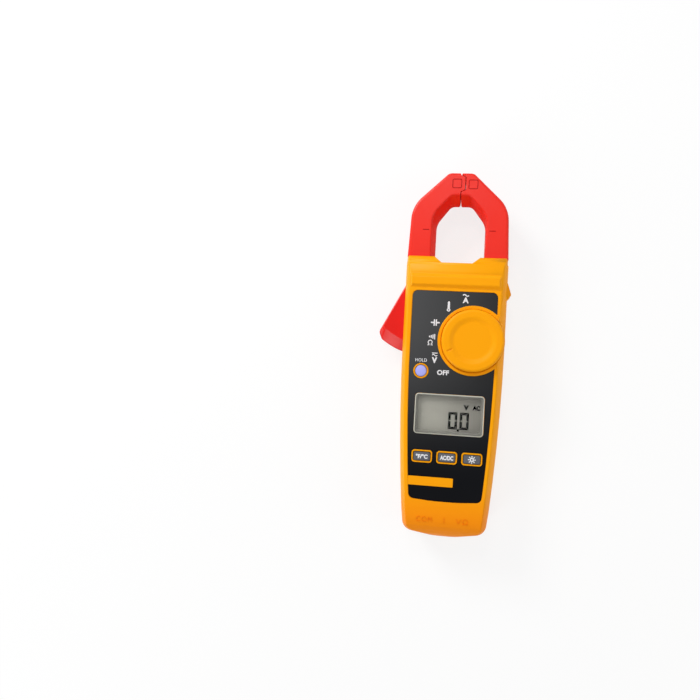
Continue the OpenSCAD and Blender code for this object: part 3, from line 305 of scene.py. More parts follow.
# letters beside the figures: text, size, middle, thickening
UNIT_LETTERS = [("V", (3.1, 2.8), (9.3, 73.3), 0.08), ("AC", (4.3, 2.8), (14.9, 73.3), 0.065)]
INK_T = 0.04
POLE_MERGE = 0.0005 * MM
LETTER_DEPTH, LETTER_STEPS = 0.1, 5
# the display's tint at each end of its ramp, and the cloudy patches' waves per metre and share
LCD_TINTS, LCD_STOPS = ((126, 125, 116), (100, 98, 91)), (0.3, 1.0)
CLOUD_SCALE, CLOUD_SHARE = 110.0, 0.35


def grid_form(name, points, ends="flat", sharp_angle=SHARP_ANGLE):
    """Form over a grid of points, rows by columns by three. Quads join neighbours and each row closes
    into a ring. The first and last rings are closed by a flat face, by strips between their two halves
    with "fold", or left open with None. Equal points merge, so a ring may shrink to a pole."""
    rows, columns = points.shape[:2]
    index = np.arange(rows * columns).reshape(rows, columns)
    ahead = np.roll(index, -1, axis=1)
    faces = np.stack([index[:-1], ahead[:-1], ahead[1:], index[1:]], axis=-1).reshape(-1, 4).tolist()
    half = columns // 2
    for ring in (index[0][::-1], index[-1]):
        if ends == "flat":
            faces.append(ring.tolist())
        elif ends == "fold":
            back = ring[::-1]
            faces += np.stack([ring[:half - 1], ring[1:half], back[1:half], back[:half - 1]], -1).tolist()
    mesh = bpy.data.meshes.new(name)
    mesh.from_pydata(points.reshape(-1, 3).tolist(), [], faces)
    work = bmesh.new()
    work.from_mesh(mesh)
    bpy.data.meshes.remove(mesh)
    bmesh.ops.remove_doubles(work, verts=work.verts, dist=POLE_MERGE)
    bmesh.ops.recalc_face_normals(work, faces=work.faces)
    return finished(work, name, sharp_angle)


def slab(outline, low, high):
    """Plate of an outline in millimetres, station coordinates, between two heights in millimetres."""
    rings = np.zeros((2, len(outline), 3))
    rings[..., :2] = np.asarray(outline) * MM
    rings[..., 1] += FOOT_Y
    rings[:, :, 2] = np.array([[low], [high]]) * MM
    return grid_form("slab", rings)


def gathered(name, meshes):
    """One mesh of several."""
    work = bmesh.new()
    for mesh in meshes:
        work.from_mesh(mesh)
        bpy.data.meshes.remove(mesh)
    return finished(work, name)


def lettering(text, size, middle, low, thickness, bold=0.0, spacing=1.0):
    """Raised letters: the font's outlines at unit size, thickened by bold, then scaled to a width and
    height and set with their middle at a place, all in millimetres. low is their foot: a height, or a
    function that gives the height at each station."""
    curve = bpy.data.curves.new("letters", "FONT")
    curve.body, curve.offset, curve.space_character = text, bold, spacing
    curve.extrude, curve.resolution_u = LETTER_DEPTH, LETTER_STEPS
    obj = in_scene("letters", curve)
    mesh = bpy.data.meshes.new_from_object(obj.evaluated_get(bpy.context.evaluated_depsgraph_get()))
    bpy.data.objects.remove(obj)
    bpy.data.curves.remove(curve)
    co = np.empty(len(mesh.vertices) * 3)
    mesh.vertices.foreach_get("co", co)
    co = co.reshape(-1, 3)
    low_corner, high_corner = co.min(0)[:2], co.max(0)[:2]
    co[:, :2] = (co[:, :2] - (low_corner + high_corner) / 2) * size / (high_corner - low_corner) + middle
    co[:, 2] = (low(co[:, 1]) if callable(low) else low) + thickness * (co[:, 2] > 0)
    co *= MM
    co[:, 1] += FOOT_Y
    mesh.vertices.foreach_set("co", co.ravel())
    mesh.update()
    return mesh


def zero_figure(middle, low):
    """Figure 0 of six segments that meet in mitres: two flat bars and four side bars, mirrored about the
    middle, each a plate with four corners."""
    w, h, t, g = DIGIT_W / 2, DIGIT_H / 2, SEGMENT_W, SEGMENT_GAP
    flat_bar = np.array([(g - w, h), (w - g, h), (w - t - g, h - t), (g + t - w, h - t)])
    side_bar = np.array([(w, h - g), (w, g), (w - t, g + t / 4), (w - t, h - t - g)])
    bars = [flat_bar * (1, along) for along in (1, -1)]
    bars += [side_bar * (across, along) for across in (1, -1) for along in (1, -1)]
    return [slab(bar + middle, low, low + INK_T) for bar in bars]


def liquid_crystal(middle_x, width):
    """Reflective display: olive grey that darkens towards the right, with faint cloudy patches."""
    material, tree = blank_material("liquid_crystal")
    place = object_place(tree)
    x = add_node(tree, "ShaderNodeSeparateXYZ", Vector=place).outputs["X"]
    share = add_node(tree, "ShaderNodeMapRange", Value=x, From_Min=middle_x - width / 2,
                     From_Max=middle_x + width / 2)
    cloud = add_node(tree, "ShaderNodeTexNoise", Vector=place, Scale=CLOUD_SCALE, Detail=3.0)
    mixed = add_node(tree, "ShaderNodeMath", {"operation": "MULTIPLY_ADD"}, Value=cloud.outputs["Fac"],
                     Value_001=CLOUD_SHARE, Value_002=share.outputs["Result"])
    tint = add_node(tree, "ShaderNodeValToRGB", Fac=mixed.outputs[0])
    for stop, colour, position in zip(tint.color_ramp.elements, LCD_TINTS, LCD_STOPS):
        stop.color, stop.position = paint(*colour), position
    body = add_node(tree, "ShaderNodeBsdfPrincipled", Base_Color=tint.outputs["Color"], Roughness=0.5,
                    Specular_IOR_Level=0.2)
    add_node(tree, "ShaderNodeOutputMaterial", Surface=body.outputs["BSDF"])
    return material


dress(moulded("holder_white", (232, 230, 223), (220, 218, 210)), "lcd_holder")
dress(moulded("light_guide", (226, 232, 236), (212, 220, 226), gloss=0.2), "backlight_guide")
dress(moulded("contact_strip", (84, 86, 92), (70, 72, 78), gloss=0.6), "elastomer_strips")
window_low, window_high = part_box("display_lens")
window = (window_low + window_high) / 2
dress(liquid_crystal(window.x, window_high.x - window_low.x), "lcd_glass")

lcd_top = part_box("lcd_glass")[1].z / MM
lcd_ink = moulded("lcd_ink", (8, 8, 8), (4, 4, 4), gloss=0.7, depth=0.0, Specular_IOR_Level=0.0)
readout = [bar for place in DIGIT_PLACES for bar in zero_figure(place, lcd_top)]
point = np.array([(-1, -1), (1, -1), (1, 1), (-1, 1)]) / 2 * POINT_SIZE + POINT_PLACE
readout.append(slab(point, lcd_top, lcd_top + INK_T))
for text, size, middle, bold in UNIT_LETTERS:
    readout.append(lettering(text, size, middle, lcd_top, INK_T, bold))
piece("lcd_readout", gathered("lcd_readout", readout), "case", lcd_ink)

# Front cover
# The front half of the case, in the same grained yellow plastic, screwed on from the back. Its foot is
# embossed with the names of the two jacks.
EMBOSS_Y, EMBOSS_SINK, EMBOSS_T = 10.9, 0.4, 0.65
EMBOSS_THIN, EMBOSS_SPACING = -0.018, 1.2
# names of the jacks: text, size, middle across
JACK_NAMES = [("COM", (8.6, 3.0), -10.7), ("VΩ", (6.4, 3.0), 10.1)]
DIVIDER_SIZE, DIVIDER_X = (0.3, 3.4), 0.3
FOOT_RUN, FOOT_DROP, FACE_Z = 19.2, 8.0, 29.5


def foot_height(y):
    """Height of an embossed mark's foot, sunk below the front face: z = face - drop (1 - y / run)^4 - sink,
    and level beyond the run."""
    return FACE_Z - FOOT_DROP * np.clip(1 - np.asarray(y) / FOOT_RUN, 0, 1) ** 4 - EMBOSS_SINK


softened("front_cover", "case", case_yellow, sharp_angle=COVER_SHARP)
# The embossed names are the case plastic; their darker orange is painted shade along the raised letters.
emboss_shade_orange = moulded("emboss_shade_orange", (242, 132, 3), (238, 126, 2), Specular_IOR_Level=0.12)
jack_marks = [lettering(text, size, (x, EMBOSS_Y), foot_height, EMBOSS_T, EMBOSS_THIN, EMBOSS_SPACING)
              for text, size, x in JACK_NAMES]
jack_marks.append(lettering("l", DIVIDER_SIZE, (DIVIDER_X, EMBOSS_Y), foot_height, EMBOSS_T))
piece("jack_marks", gathered("jack_marks", jack_marks), "case", emboss_shade_orange)

# Panel
# A black satin plate let into the front cover, with the dial's marks printed on it in white. A bare
# yellow bar crosses its foot.
PANEL_EDGE = 0.15 * MM
# painted reflection: the coat's most, and where its ramps along and across the panel run, in millimetres
COAT, SHEEN_FADE_Y, SHEEN_FADE_X = 0.9, (30.0, 125.0), (50.0, -20.0)
PRINT_Z, PRINT_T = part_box("front_panel")[1].z / MM, 0.05
# words: text, size, middle, thickening
DIAL_WORDS = [
    ("A", (3.3, 3.2), (6.0, 132.8), 0.04),
    ("V", (3.1, 3.2), (-9.6, 98.8), 0.06),
    ("OFF", (6.6, 2.75), (-4.5, 92.1), 0.035),
    ("HOLD", (6.4, 1.8), (-17.0, 98.5), 0.0),
]
# waves over A and V: middle, width, height, line
WAVES = [((6.0, 135.5), 3.3, 0.95, 0.6), ((-9.6, 101.5), 2.9, 0.8, 0.5)]
STEADY_SIGN, STEADY_LINE = [(-11.1, 102.7), (-8.1, 102.7)], 0.5
OHM, OHM_R, OHM_RISE, OHM_ENDS, OHM_LINE = (-12.5, 108.5), 1.1, 0.15, (236, -56), 0.5
OHM_FOOT_OUT, OHM_FOOT_IN, OHM_FOOT_Y = 1.4, 0.6, -1.35
STEM_X, STEM_LOW, STEM_TOP, STEM_R = -3.2, 128.0, 131.2, 0.62
BULB_Y, BULB_R, BULB_LINE = 127.1, 0.68, 0.6
CAPACITOR = (-10.2, 119.7)
LEAD_OUT, LEAD_IN, LEAD_LINE = 2.5, 0.9, 0.75
PLATE_X, PLATE_HALF, PLATE_LINE = 0.55, 1.8, 0.7
SOUND_BARS, SOUND_X, SOUND_Y, SOUND_LINE = 4, -13.0, 111.8, 0.62
SOUND_STEP, SOUND_HALF, SOUND_GROWTH = 0.95, 0.45, 0.35
ARC_STEPS = 24


def add_painted_sheen_coat(material):
    """Glossy coat whose strength is a painted reflection: full at the upper left of the panel and gone
    towards its foot, the product of two ramps, along and across."""
    tree = material.node_tree
    split = add_node(tree, "ShaderNodeSeparateXYZ", Vector=object_place(tree))
    along = add_node(tree, "ShaderNodeMapRange", {"interpolation_type": "SMOOTHSTEP"},
                     Value=split.outputs["Y"], From_Min=station(SHEEN_FADE_Y[0]),
                     From_Max=station(SHEEN_FADE_Y[1]), To_Max=COAT)
    across = add_node(tree, "ShaderNodeMapRange", Value=split.outputs["X"],
                      From_Min=SHEEN_FADE_X[0] * MM, From_Max=SHEEN_FADE_X[1] * MM)
    both = add_node(tree, "ShaderNodeMath", {"operation": "MULTIPLY"}, Value=along.outputs["Result"],
                    Value_001=across.outputs["Result"])
    tree.links.new(both.outputs[0], main_shader(tree).inputs["Coat Weight"])


def stroke(path, width, low=PRINT_Z, thickness=PRINT_T, closed=False):
    """Printed line: a flat strip carried along a path of points in millimetres, at right angles to it."""
    path = np.asarray(path, float)
    if closed:
        path = np.concatenate([path, path[:1]])
    run = np.gradient(path, axis=0)
    if closed:
        run[0] = run[-1] = path[1] - path[-2]
    side = np.stack([-run[:, 1], run[:, 0]], -1) / np.linalg.norm(run, axis=1, keepdims=True) * width / 2
    rings = np.zeros((len(path), 4, 3))
    rings[:, :, :2] = np.stack([path - side, path + side, path + side, path - side], 1)
    rings[:, :, 2] = np.array([low, low, low + thickness, low + thickness])
    rings *= MM
    rings[..., 1] += FOOT_Y
    return grid_form("stroke", rings, None if closed else "flat")


def arc(middle, radius, start, end, steps=ARC_STEPS):
    """Points of a circle's arc between two angles in degrees."""
    t = np.radians(np.linspace(start, end, steps))
    return np.asarray(middle) + radius * np.stack([np.cos(t), np.sin(t)], -1)


def circle(middle, radius):
    """Points of a whole circle, each once: a closed path runs on from the last to the first."""
    return arc(middle, radius, 0, 360 - 360 / ARC_STEPS)


def wave(middle, width, height, line):
    """One wave of a sine, the sign for alternating current."""
    t = np.linspace(-1, 1, ARC_STEPS)
    path = np.stack([middle[0] + t * width / 2, middle[1] - np.sin(t * np.pi) * height / 2], -1)
    return stroke(path, line)


def ohm_sign():
    """Arch, open at its foot, on two short feet."""
    foot = np.array([(-OHM_FOOT_OUT, OHM_FOOT_Y), (-OHM_FOOT_IN, OHM_FOOT_Y)])
    arch = arc((0, OHM_RISE), OHM_R, *OHM_ENDS)
    return stroke(np.concatenate([foot, arch, foot[::-1] * (-1, 1)]) + OHM, OHM_LINE)


def thermometer():
    """Stem with a round top, on a bulb with a dark middle."""
    stem = np.concatenate([arc((STEM_X, STEM_TOP), STEM_R, 0, 180),
                           [(STEM_X - STEM_R, STEM_LOW), (STEM_X + STEM_R, STEM_LOW)]])
    bulb = stroke(circle((STEM_X, BULB_Y), BULB_R), BULB_LINE, closed=True)
    return [slab(stem, PRINT_Z, PRINT_Z + PRINT_T), bulb]


def capacitor():
    """Two plates between two leads, mirrored about the sign's middle."""
    lead = np.array([(LEAD_OUT, 0), (LEAD_IN, 0)])
    plate = np.array([(PLATE_X, -PLATE_HALF), (PLATE_X, PLATE_HALF)])
    return [stroke(path * (side, 1) + CAPACITOR, line)
            for path, line in ((lead, LEAD_LINE), (plate, PLATE_LINE)) for side in (-1, 1)]


def sound_sign():
    """Upright bars that grow to the right."""
    place = SOUND_X + SOUND_STEP * np.arange(SOUND_BARS)
    half = SOUND_HALF + SOUND_GROWTH * np.arange(SOUND_BARS)
    return [stroke([(x, SOUND_Y - h), (x, SOUND_Y + h)], SOUND_LINE) for x, h in zip(place, half)]


panel_black = moulded("panel_black", (18, 19, 22), (12, 13, 16), grain=3200.0, gloss=0.4, smudge=0.16,
                      depth=0.012, Specular_IOR_Level=0.04, Coat_Roughness=0.18, Coat_IOR=1.75)
add_painted_sheen_coat(panel_black)
softened("front_panel", "case", panel_black, radius=PANEL_EDGE)

print_white = moulded("print_white", (236, 236, 238), (222, 222, 226), gloss=0.5)
marks = [lettering(text, size, middle, PRINT_Z, PRINT_T, bold) for text, size, middle, bold in DIAL_WORDS]
marks += [wave(*values) for values in WAVES]
marks += [stroke(STEADY_SIGN, STEADY_LINE), ohm_sign()]
marks += thermometer() + capacitor() + sound_sign()
piece("dial_marks", gathered("dial_marks", marks), "case", print_white)

# Window lens
# A clear acrylic plate with bevelled edges, glued on the ledge over the display. A thin grey frame
# under it hides the ledge and reaches down to the display.
LENS_CORNER, LENS_BEVEL, LENS_STEP, LENS_SHARP = 2.0 * MM, 0.5 * MM, 0.35 * MM, math.radians(15)
LEDGE, LEDGE_CORNER, SKIRT_T = 1.5 * MM, 2.2 * MM, 0.2 * MM
BORDER_T, BORDER_SHARE, BAND_SHARP = 0.04 * MM, 0.995, math.radians(20)
lens_w, lens_h = window_high.x - window_low.x, window_high.y - window_low.y


def rounded_rect(width, height, radius, per_corner=8):
    """Outline of a rounded rectangle, anticlockwise: corner centres plus radius times (cos t, sin t)."""
    quarter = np.repeat(np.arange(4), per_corner)
    t = np.radians(90 * quarter + np.tile(np.linspace(0, 90, per_corner), 4))
    across, along = np.array([1, -1, -1, 1])[quarter], np.array([1, 1, -1, -1])[quarter]
    return np.stack([across * (width / 2 - radius) + radius * np.cos(t),
                     along * (height / 2 - radius) + radius * np.sin(t)], -1)


def stacked(name, middle, outlines, heights, **form):
    """Form through outlines about a middle, each at its own height."""
    points = np.zeros((len(outlines), len(outlines[0]), 3))
    points[..., :2] = np.asarray(outlines) + np.array([middle.x, middle.y])
    points[..., 2] = np.asarray(heights)[:, None]
    return grid_form(name, points, **form)


def clear_acrylic():
    """Clear coated plate that mirrors little, and lets lamp light straight through to the display."""
    material, tree = blank_material("clear_acrylic")
    glass = add_node(tree, "ShaderNodeBsdfPrincipled", Base_Color=(1, 1, 1, 1), Roughness=0.03, IOR=1.2,
                     Transmission_Weight=1.0)
    through = add_node(tree, "ShaderNodeBsdfTransparent")
    path = add_node(tree, "ShaderNodeLightPath")
    mix = add_node(tree, "ShaderNodeMixShader", Fac=path.outputs["Is Shadow Ray"],
                   Shader=glass.outputs["BSDF"], Shader_001=through.outputs["BSDF"])
    add_node(tree, "ShaderNodeOutputMaterial", Surface=mix.outputs["Shader"])
    return material


def lens_outline(inset, corner):
    """Outline of the lens, drawn in by an inset, with corners of a radius."""
    return rounded_rect(lens_w - 2 * inset, lens_h - 2 * inset, corner)


def band(name, outlines, heights):
    """Closed band round the window: its section's corners follow outlines at heights, and it ends where it
    began."""
    return stacked(name, window, outlines + outlines[:1], heights + heights[:1], ends=None,
                   sharp_angle=BAND_SHARP)


outer, bevelled = lens_outline(0, LENS_CORNER), lens_outline(LENS_BEVEL, LENS_CORNER - LENS_BEVEL)
rim_low, rim_high = window_high.z - LENS_STEP, window_high.z + BORDER_T
lens = stacked("lens", window, [outer, outer, bevelled], [window_low.z, rim_low, window_high.z],
               sharp_angle=LENS_SHARP)
piece("lens", lens, "case", clear_acrylic(), ["display_lens"])

border_grey = moulded("border_grey", (114, 113, 105), (104, 103, 95))
border_edge, inner = outer * BORDER_SHARE, lens_outline(LEDGE, LEDGE_CORNER)
skirt = lens_outline(LEDGE - SKIRT_T, LEDGE_CORNER + SKIRT_T)
border_z, skirt_foot = window_low.z + BORDER_T, lcd_top * MM + BORDER_T
border = band("lens_border", [border_edge, skirt, skirt, inner, inner, border_edge],
              [border_z, border_z, skirt_foot, skirt_foot, border_z + BORDER_T, border_z + BORDER_T])
piece("lens_border", border, "case", border_grey)

# The lens's bevel is drawn as a pale band: a painted highlight where light catches the bevelled edge.
painted_bevel_highlight = moulded("painted_bevel_highlight", (208, 208, 194), (190, 190, 176), gloss=0.25)
rim = band("lens_rim", [outer, outer, bevelled, bevelled],
           [rim_low, rim_low + BORDER_T, rim_high, rim_high - BORDER_T])
piece("lens_rim", rim, "case", painted_bevel_highlight)

# Label bar
# A bare bar of the case plastic that is glued on the panel. It stands a little above the panel and runs
# into the left rim.
BAR_CORNER, BAR_EDGE, BAR_REACH = 0.4 * MM, 0.15 * MM, 0.55 * MM
bar_low, bar_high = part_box("label_bar")
bar_w, bar_h = bar_high.x - bar_low.x + BAR_REACH, bar_high.y - bar_low.y
bar_middle = (bar_low + bar_high) / 2 - Vector((BAR_REACH / 2, 0, 0))
bar_rings = [rounded_rect(bar_w - 2 * i, bar_h - 2 * i, BAR_CORNER - i) for i in (0, 0, BAR_EDGE)]
bar = stacked("label_plate", bar_middle, bar_rings, [bar_low.z, bar_high.z - BAR_EDGE, bar_high.z])
piece("label_plate", bar, "case", case_yellow, ["label_bar"])

# Rotary switch
# The dial knob: a thick yellow disc with a rounded rim, a shallow finger dish and one engraved pointer.
# Its shaft carries a rotor with brass wipers and detent notches inside the case.
knob_low, knob_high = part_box("rotary_knob")
knob_middle = (knob_low + knob_high) / 2
KNOB_R = (knob_high.x - knob_low.x) / 2
KNOB_FOOT, FOOT_CHAMFER = 26.8 * MM, 0.5 * MM
FLANGE_W, FLANGE_Z = 0.35 * MM, 30.1 * MM
RIM_ROUND = 1.6 * MM
DISH_OUT, DISH_IN, DISH_D = 13.4 * MM, 9.8 * MM, 0.95 * MM
POINTER_TURN = math.radians(205)
POINTER_IN, POINTER_OUT, POINTER_W, POINTER_D = 12.1 * MM, 15.1 * MM, 0.8 * MM, 0.5 * MM
POINTER_SOFT = 0.15 * MM
KNOB_STEPS, KNOB_ROUND_STEPS, KNOB_FACE_STEPS = 384, 9, 64
CUT = 0.02 * MM


def smooth_step(low, high, x):
    """0 below low, 1 above high, 3t^2 - 2t^3 between."""
    t = np.clip((x - low) / (high - low), 0, 1)
    return t * t * (3 - 2 * t)


def soft_step(edge, soft, x):
    """Smooth step about an edge, over a soft distance to each side of it."""
    return smooth_step(edge - soft, edge + soft, x)


def knob_points():
    """Knob turned about its axis: flange, side, quarter-round rim, flat, and a dish with a smooth-step
    wall. A pointer is engraved where |q| < w / 2 and in < p < out, p along the pointer and q across it."""
    t = np.linspace(0, np.pi / 2, KNOB_ROUND_STEPS)
    top = knob_high.z
    flange = KNOB_R + FLANGE_W
    face = np.linspace(KNOB_R - RIM_ROUND, 0, KNOB_FACE_STEPS)[1:]
    radius = np.concatenate([[flange - FOOT_CHAMFER, flange, flange, KNOB_R],
                             KNOB_R - RIM_ROUND * (1 - np.cos(t)), face])
    height = np.concatenate([[KNOB_FOOT, KNOB_FOOT + FOOT_CHAMFER, FLANGE_Z, FLANGE_Z],
                             top - RIM_ROUND * (1 - np.sin(t)), np.full(len(face), top)])
    height -= DISH_D * (1 - smooth_step(DISH_IN, DISH_OUT, radius))
    turn = np.linspace(0, 2 * np.pi, KNOB_STEPS, endpoint=False) + POINTER_TURN
    x, y = radius[:, None] * np.cos(turn), radius[:, None] * np.sin(turn)
    p = x * math.cos(POINTER_TURN) + y * math.sin(POINTER_TURN)
    q = y * math.cos(POINTER_TURN) - x * math.sin(POINTER_TURN)
    across = 1 - soft_step(POINTER_W / 2, POINTER_SOFT, np.abs(q))
    along = soft_step(POINTER_IN, POINTER_SOFT, p) * (1 - soft_step(POINTER_OUT, POINTER_SOFT, p))
    z = height[:, None] - POINTER_D * across * along * (height[:, None] > top - RIM_ROUND)
    return np.stack([x + knob_middle.x, y + knob_middle.y, z], -1)


def foot_of(node, limit, direction=(0, 0, 1)):
    """The part of a node behind a plane through a point, with its cut closed."""
    work = joined_copy(node)
    bmesh.ops.bisect_plane(work, geom=work.verts[:] + work.edges[:] + work.faces[:], plane_co=limit,
                           plane_no=direction, clear_outer=True)
    bmesh.ops.holes_fill(work, edges=[e for e in work.edges if e.is_boundary], sides=0)
    return finished(work, node + "_foot")


dress(moulded("rotor_cream", (222, 216, 200), (206, 200, 184)), "switch_rotor")
dress(brass, "wiper_contacts")
knob_foot = foot_of("rotary_knob", (0, 0, KNOB_FOOT - CUT))
knob = gathered("knob", [grid_form("knob", knob_points()), knob_foot])
piece("knob", knob, "knob", case_yellow, ["rotary_knob"])

# Keys
# Three grey rubber keys that stand in yellow frames, each with a white sign, and a round lavender hold
# button. All of them spring back.
KEY_W, KEY_H, KEY_CORNER, KEY_EDGE, KEY_CROWN = 9.2 * MM, 4.7 * MM, 0.9 * MM, 0.45 * MM, 0.1 * MM
KEY_FOOT = 27.0 * MM
KEY_ROUND_STEPS, KEY_FACE_STEPS = 6, 8
HOLD_R, HOLD_ROUND, HOLD_CROWN = 3.15 * MM, 0.7 * MM, 0.25 * MM
HOLD_STEPS, HOLD_ROUND_STEPS, HOLD_FACE_STEPS = 96, 8, 10
SIGN_H, SIGN_BOLD, SIGN_SINK, SIGN_T = 2.5, 0.05, 0.1, 0.14
# letters on a key and their width; the key without letters has the sun
KEY_LETTERS = {"unit_key": ("°F/°C", 6.6), "acdc_key": ("AC/DC", 7.3), "backlight_key": None}
SUN_R, SUN_LINE = 0.8, 0.55
RAY_IN, RAY_OUT, RAY_LINE, RAY_TURN = 1.2, 2.15, 0.5, 45
hold_low, hold_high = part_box("hold_button")


def key_form(name, low, high):
    """Key cap: straight sides, a quarter-round edge, and a face that rises to its middle as 1 - s^2."""
    t = np.linspace(0, np.pi / 2, KEY_ROUND_STEPS)
    share = np.linspace(1, 0, KEY_FACE_STEPS)[1:]
    face = high.z - KEY_CROWN
    inset = np.concatenate([[0], KEY_EDGE * (1 - np.cos(t))])
    outlines = [rounded_rect(KEY_W - 2 * i, KEY_H - 2 * i, KEY_CORNER - i) for i in inset]
    outlines += [outlines[-1] * s for s in share]
    heights = np.concatenate([[KEY_FOOT], face - KEY_EDGE * (1 - np.sin(t)),
                              face + KEY_CROWN * (1 - share ** 2)])
    return stacked(name, (low + high) / 2, outlines, heights)


def hold_points():
    """Button turned about its axis: side, quarter-round edge, and a crown of 1 - s^2."""
    t = np.linspace(0, np.pi / 2, HOLD_ROUND_STEPS)
    share = np.linspace(1, 0, HOLD_FACE_STEPS)[1:]
    face = hold_high.z - HOLD_CROWN
    radius = np.concatenate([[HOLD_R], HOLD_R - HOLD_ROUND * (1 - np.cos(t)),
                             (HOLD_R - HOLD_ROUND) * share])
    height = np.concatenate([[KEY_FOOT], face - HOLD_ROUND * (1 - np.sin(t)),
                             face + HOLD_CROWN * (1 - share ** 2)])
    turn = np.linspace(0, 2 * np.pi, HOLD_STEPS, endpoint=False)
    middle = (hold_low + hold_high) / 2
    x, y = middle.x + radius[:, None] * np.cos(turn), middle.y + radius[:, None] * np.sin(turn)
    return np.stack([x, y, np.repeat(height[:, None], HOLD_STEPS, 1)], -1)


def sun(middle, low):
    """Sign for the backlight: a ring with eight rays."""
    ring = stroke(circle(middle, SUN_R), SUN_LINE, low, SIGN_T, closed=True)
    rays = [np.concatenate([arc(middle, r, turn, turn, 1) for r in (RAY_IN, RAY_OUT)])
            for turn in range(0, 360, RAY_TURN)]
    return [ring] + [stroke(ray, RAY_LINE, low, SIGN_T) for ray in rays]


rubber_grey = moulded("rubber_grey", (86, 88, 96), (74, 76, 84), gloss=0.55)
for node, letters in KEY_LETTERS.items():
    low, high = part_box(node)
    key_foot = foot_of(node, (0, 0, KEY_FOOT - CUT))
    cap = gathered(node + "_cap", [key_form(node + "_cap", low, high), key_foot])
    piece(node + "_cap", cap, node, rubber_grey, [node])
    middle = ((low.x + high.x) / 2 / MM, ((low.y + high.y) / 2 - FOOT_Y) / MM)
    sign_z = high.z / MM - SIGN_SINK
    if letters:
        text, sign_w = letters
        lines = [lettering(text, (sign_w, SIGN_H), middle, sign_z, SIGN_T, SIGN_BOLD)]
    else:
        lines = sun(middle, sign_z)
    piece(node + "_sign", gathered(node + "_sign", lines), node, print_white)

rubber_blue = moulded("rubber_blue", (176, 176, 244), (164, 164, 236), gloss=0.45)
hold_foot = foot_of("hold_button", (0, 0, KEY_FOOT - CUT))
hold = gathered("hold_cap", [grid_form("hold_cap", hold_points()), hold_foot])
piece("hold_cap", hold, "hold_button", rubber_blue, ["hold_button"])

# Jaws
# Two hollow red mouldings that close round a conductor: each holds half of a steel core and a winding,
# turns on a pin in the case and meshes with the other by a gear sector. The trigger is on the left one.
SEAM = 157.5
jaw_low, jaw_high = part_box("right_jaw")
JAW_LOW, JAW_HIGH = jaw_low.z / MM, jaw_high.z / MM
TIP = (jaw_high.y - FOOT_Y) / MM
OUTER_TIP, THROAT, MID_THROAT = TIP - 0.6, TIP - 13.7, TIP - 18.2
OUTER = [(28.7, SEAM), (27.5, 187.0), (7.0, OUTER_TIP), (0, OUTER_TIP)]
INNER = [(15.4, SEAM), (15.4, TIP - 24.8), (5.4, THROAT), (0, THROAT)]
MID = [(14.1, SEAM), (14.1, TIP - 29.0), (5.9, MID_THROAT), (0, MID_THROAT)]
OUTER_BENDS, INNER_BENDS, MID_BENDS = (18.0, 4.0), (12.0, 6.0), (10.7, 4.7)
LEG_STEPS, BEND_STEPS = 14, 14
ROUND_STEPS, FACE_STEPS, WALL_STEPS = 7, 48, 12
OUTER_ROUND, INNER_ROUND = 1.7, 0.9
# the straight part of the inner wall's swell, and the share of its height where it stops at mid-depth
SWELL_LINE, WALL_END = 0.55, 0.98
MID_SHIFT = 0.8
SPLIT_GAP, SPLIT_ROOM, SPLIT_STEPS = 0.44, 2.0, 400
NOTCH_W, NOTCH_D = 0.6, 2.0
TONGUE, TONGUE_LOW, TONGUE_HIGH, TONGUE_SOFT = 2.5, TIP - 11.0, TIP - 2.6, 0.8
TRIGGER_EDGE, TRIGGER_STEPS, TRIGGER_SHARP = 0.6 * MM, 3, math.radians(20)
FRAME_SIDE, FRAME_CORNER, FRAME_LINE = 5.0, 0.7, 0.45
DASH_Y, DASH_LINE, LINE_T = 173.2, 0.5, 0.03
# lines on a jaw: middle of the frame, and the two ends of the dash
JAW_LINES = {"left_jaw": ((-2.3, 200.0), (-20.6, -16.9)), "right_jaw": ((6.9, 199.6), (17.2, 20.8))}


def bent_path(corners, radii):
    """Path through corner points: straight legs, and at each inner corner an arc of its radius."""
    corners = np.array(corners, float)
    legs, start = [], corners[0]
    for before, at, after, radius in zip(corners, corners[1:], corners[2:], radii):
        u, w = (p / np.linalg.norm(p) for p in (before - at, after - at))
        half = np.arccos(u @ w) / 2
        centre = at + (u + w) / np.linalg.norm(u + w) * radius / np.sin(half)
        first, last = at + u * radius / np.tan(half), at + w * radius / np.tan(half)
        legs.append(start + np.linspace(0, 1, LEG_STEPS, endpoint=False)[:, None] * (first - start))
        a, b = (np.arctan2(*(p - centre)[::-1]) for p in (first, last))
        t = a + np.linspace(0, 1, BEND_STEPS, endpoint=False) * ((b - a + np.pi) % (2 * np.pi) - np.pi)
        legs.append(centre + radius * np.stack([np.cos(t), np.sin(t)], -1))
        start = last
    legs.append(start + np.linspace(0, 1, LEG_STEPS)[:, None] * (corners[-1] - start))
    return np.concatenate(legs)


def split_x(y):
    """Line where the tips meet: the middle plane, with a tongue between two smooth steps."""
    return TONGUE * (soft_step(TONGUE_LOW, TONGUE_SOFT, y) - soft_step(TONGUE_HIGH, TONGUE_SOFT, y))


def arm_section():
    """Front half of the arm's section: outer round, face, inner round, and inner wall down to mid-depth.
    Each point has four values: the share s from the outer to the inner outline, the share from there to
    the outline at mid-depth, the push c across the arm, and the rise over the middle plane."""
    t = np.linspace(0, np.pi / 2, ROUND_STEPS)
    face = np.linspace(0, 1, FACE_STEPS)[1:-1]
    wall = np.linspace(0, 1, WALL_STEPS)[1:]
    half_t = (JAW_HIGH - JAW_LOW) / 2
    swell = SWELL_LINE * wall + (1 - SWELL_LINE) * np.sin(wall * np.pi / 2)
    outer_round = [0 * t, 0 * t, OUTER_ROUND * (1 - np.cos(t)), half_t - OUTER_ROUND * (1 - np.sin(t))]
    level = [face, 0 * face, OUTER_ROUND * (1 - face) - INNER_ROUND * face, half_t + 0 * face]
    inner_round = [1 + 0 * t, 0 * t, INNER_ROUND * (np.sin(t) - 1), half_t - INNER_ROUND * (1 - np.cos(t))]
    inner_wall = [1 + 0 * wall, swell, 0 * wall, (half_t - INNER_ROUND) * (1 - WALL_END * wall)]
    return np.concatenate([outer_round, level, inner_round, inner_wall], axis=1)


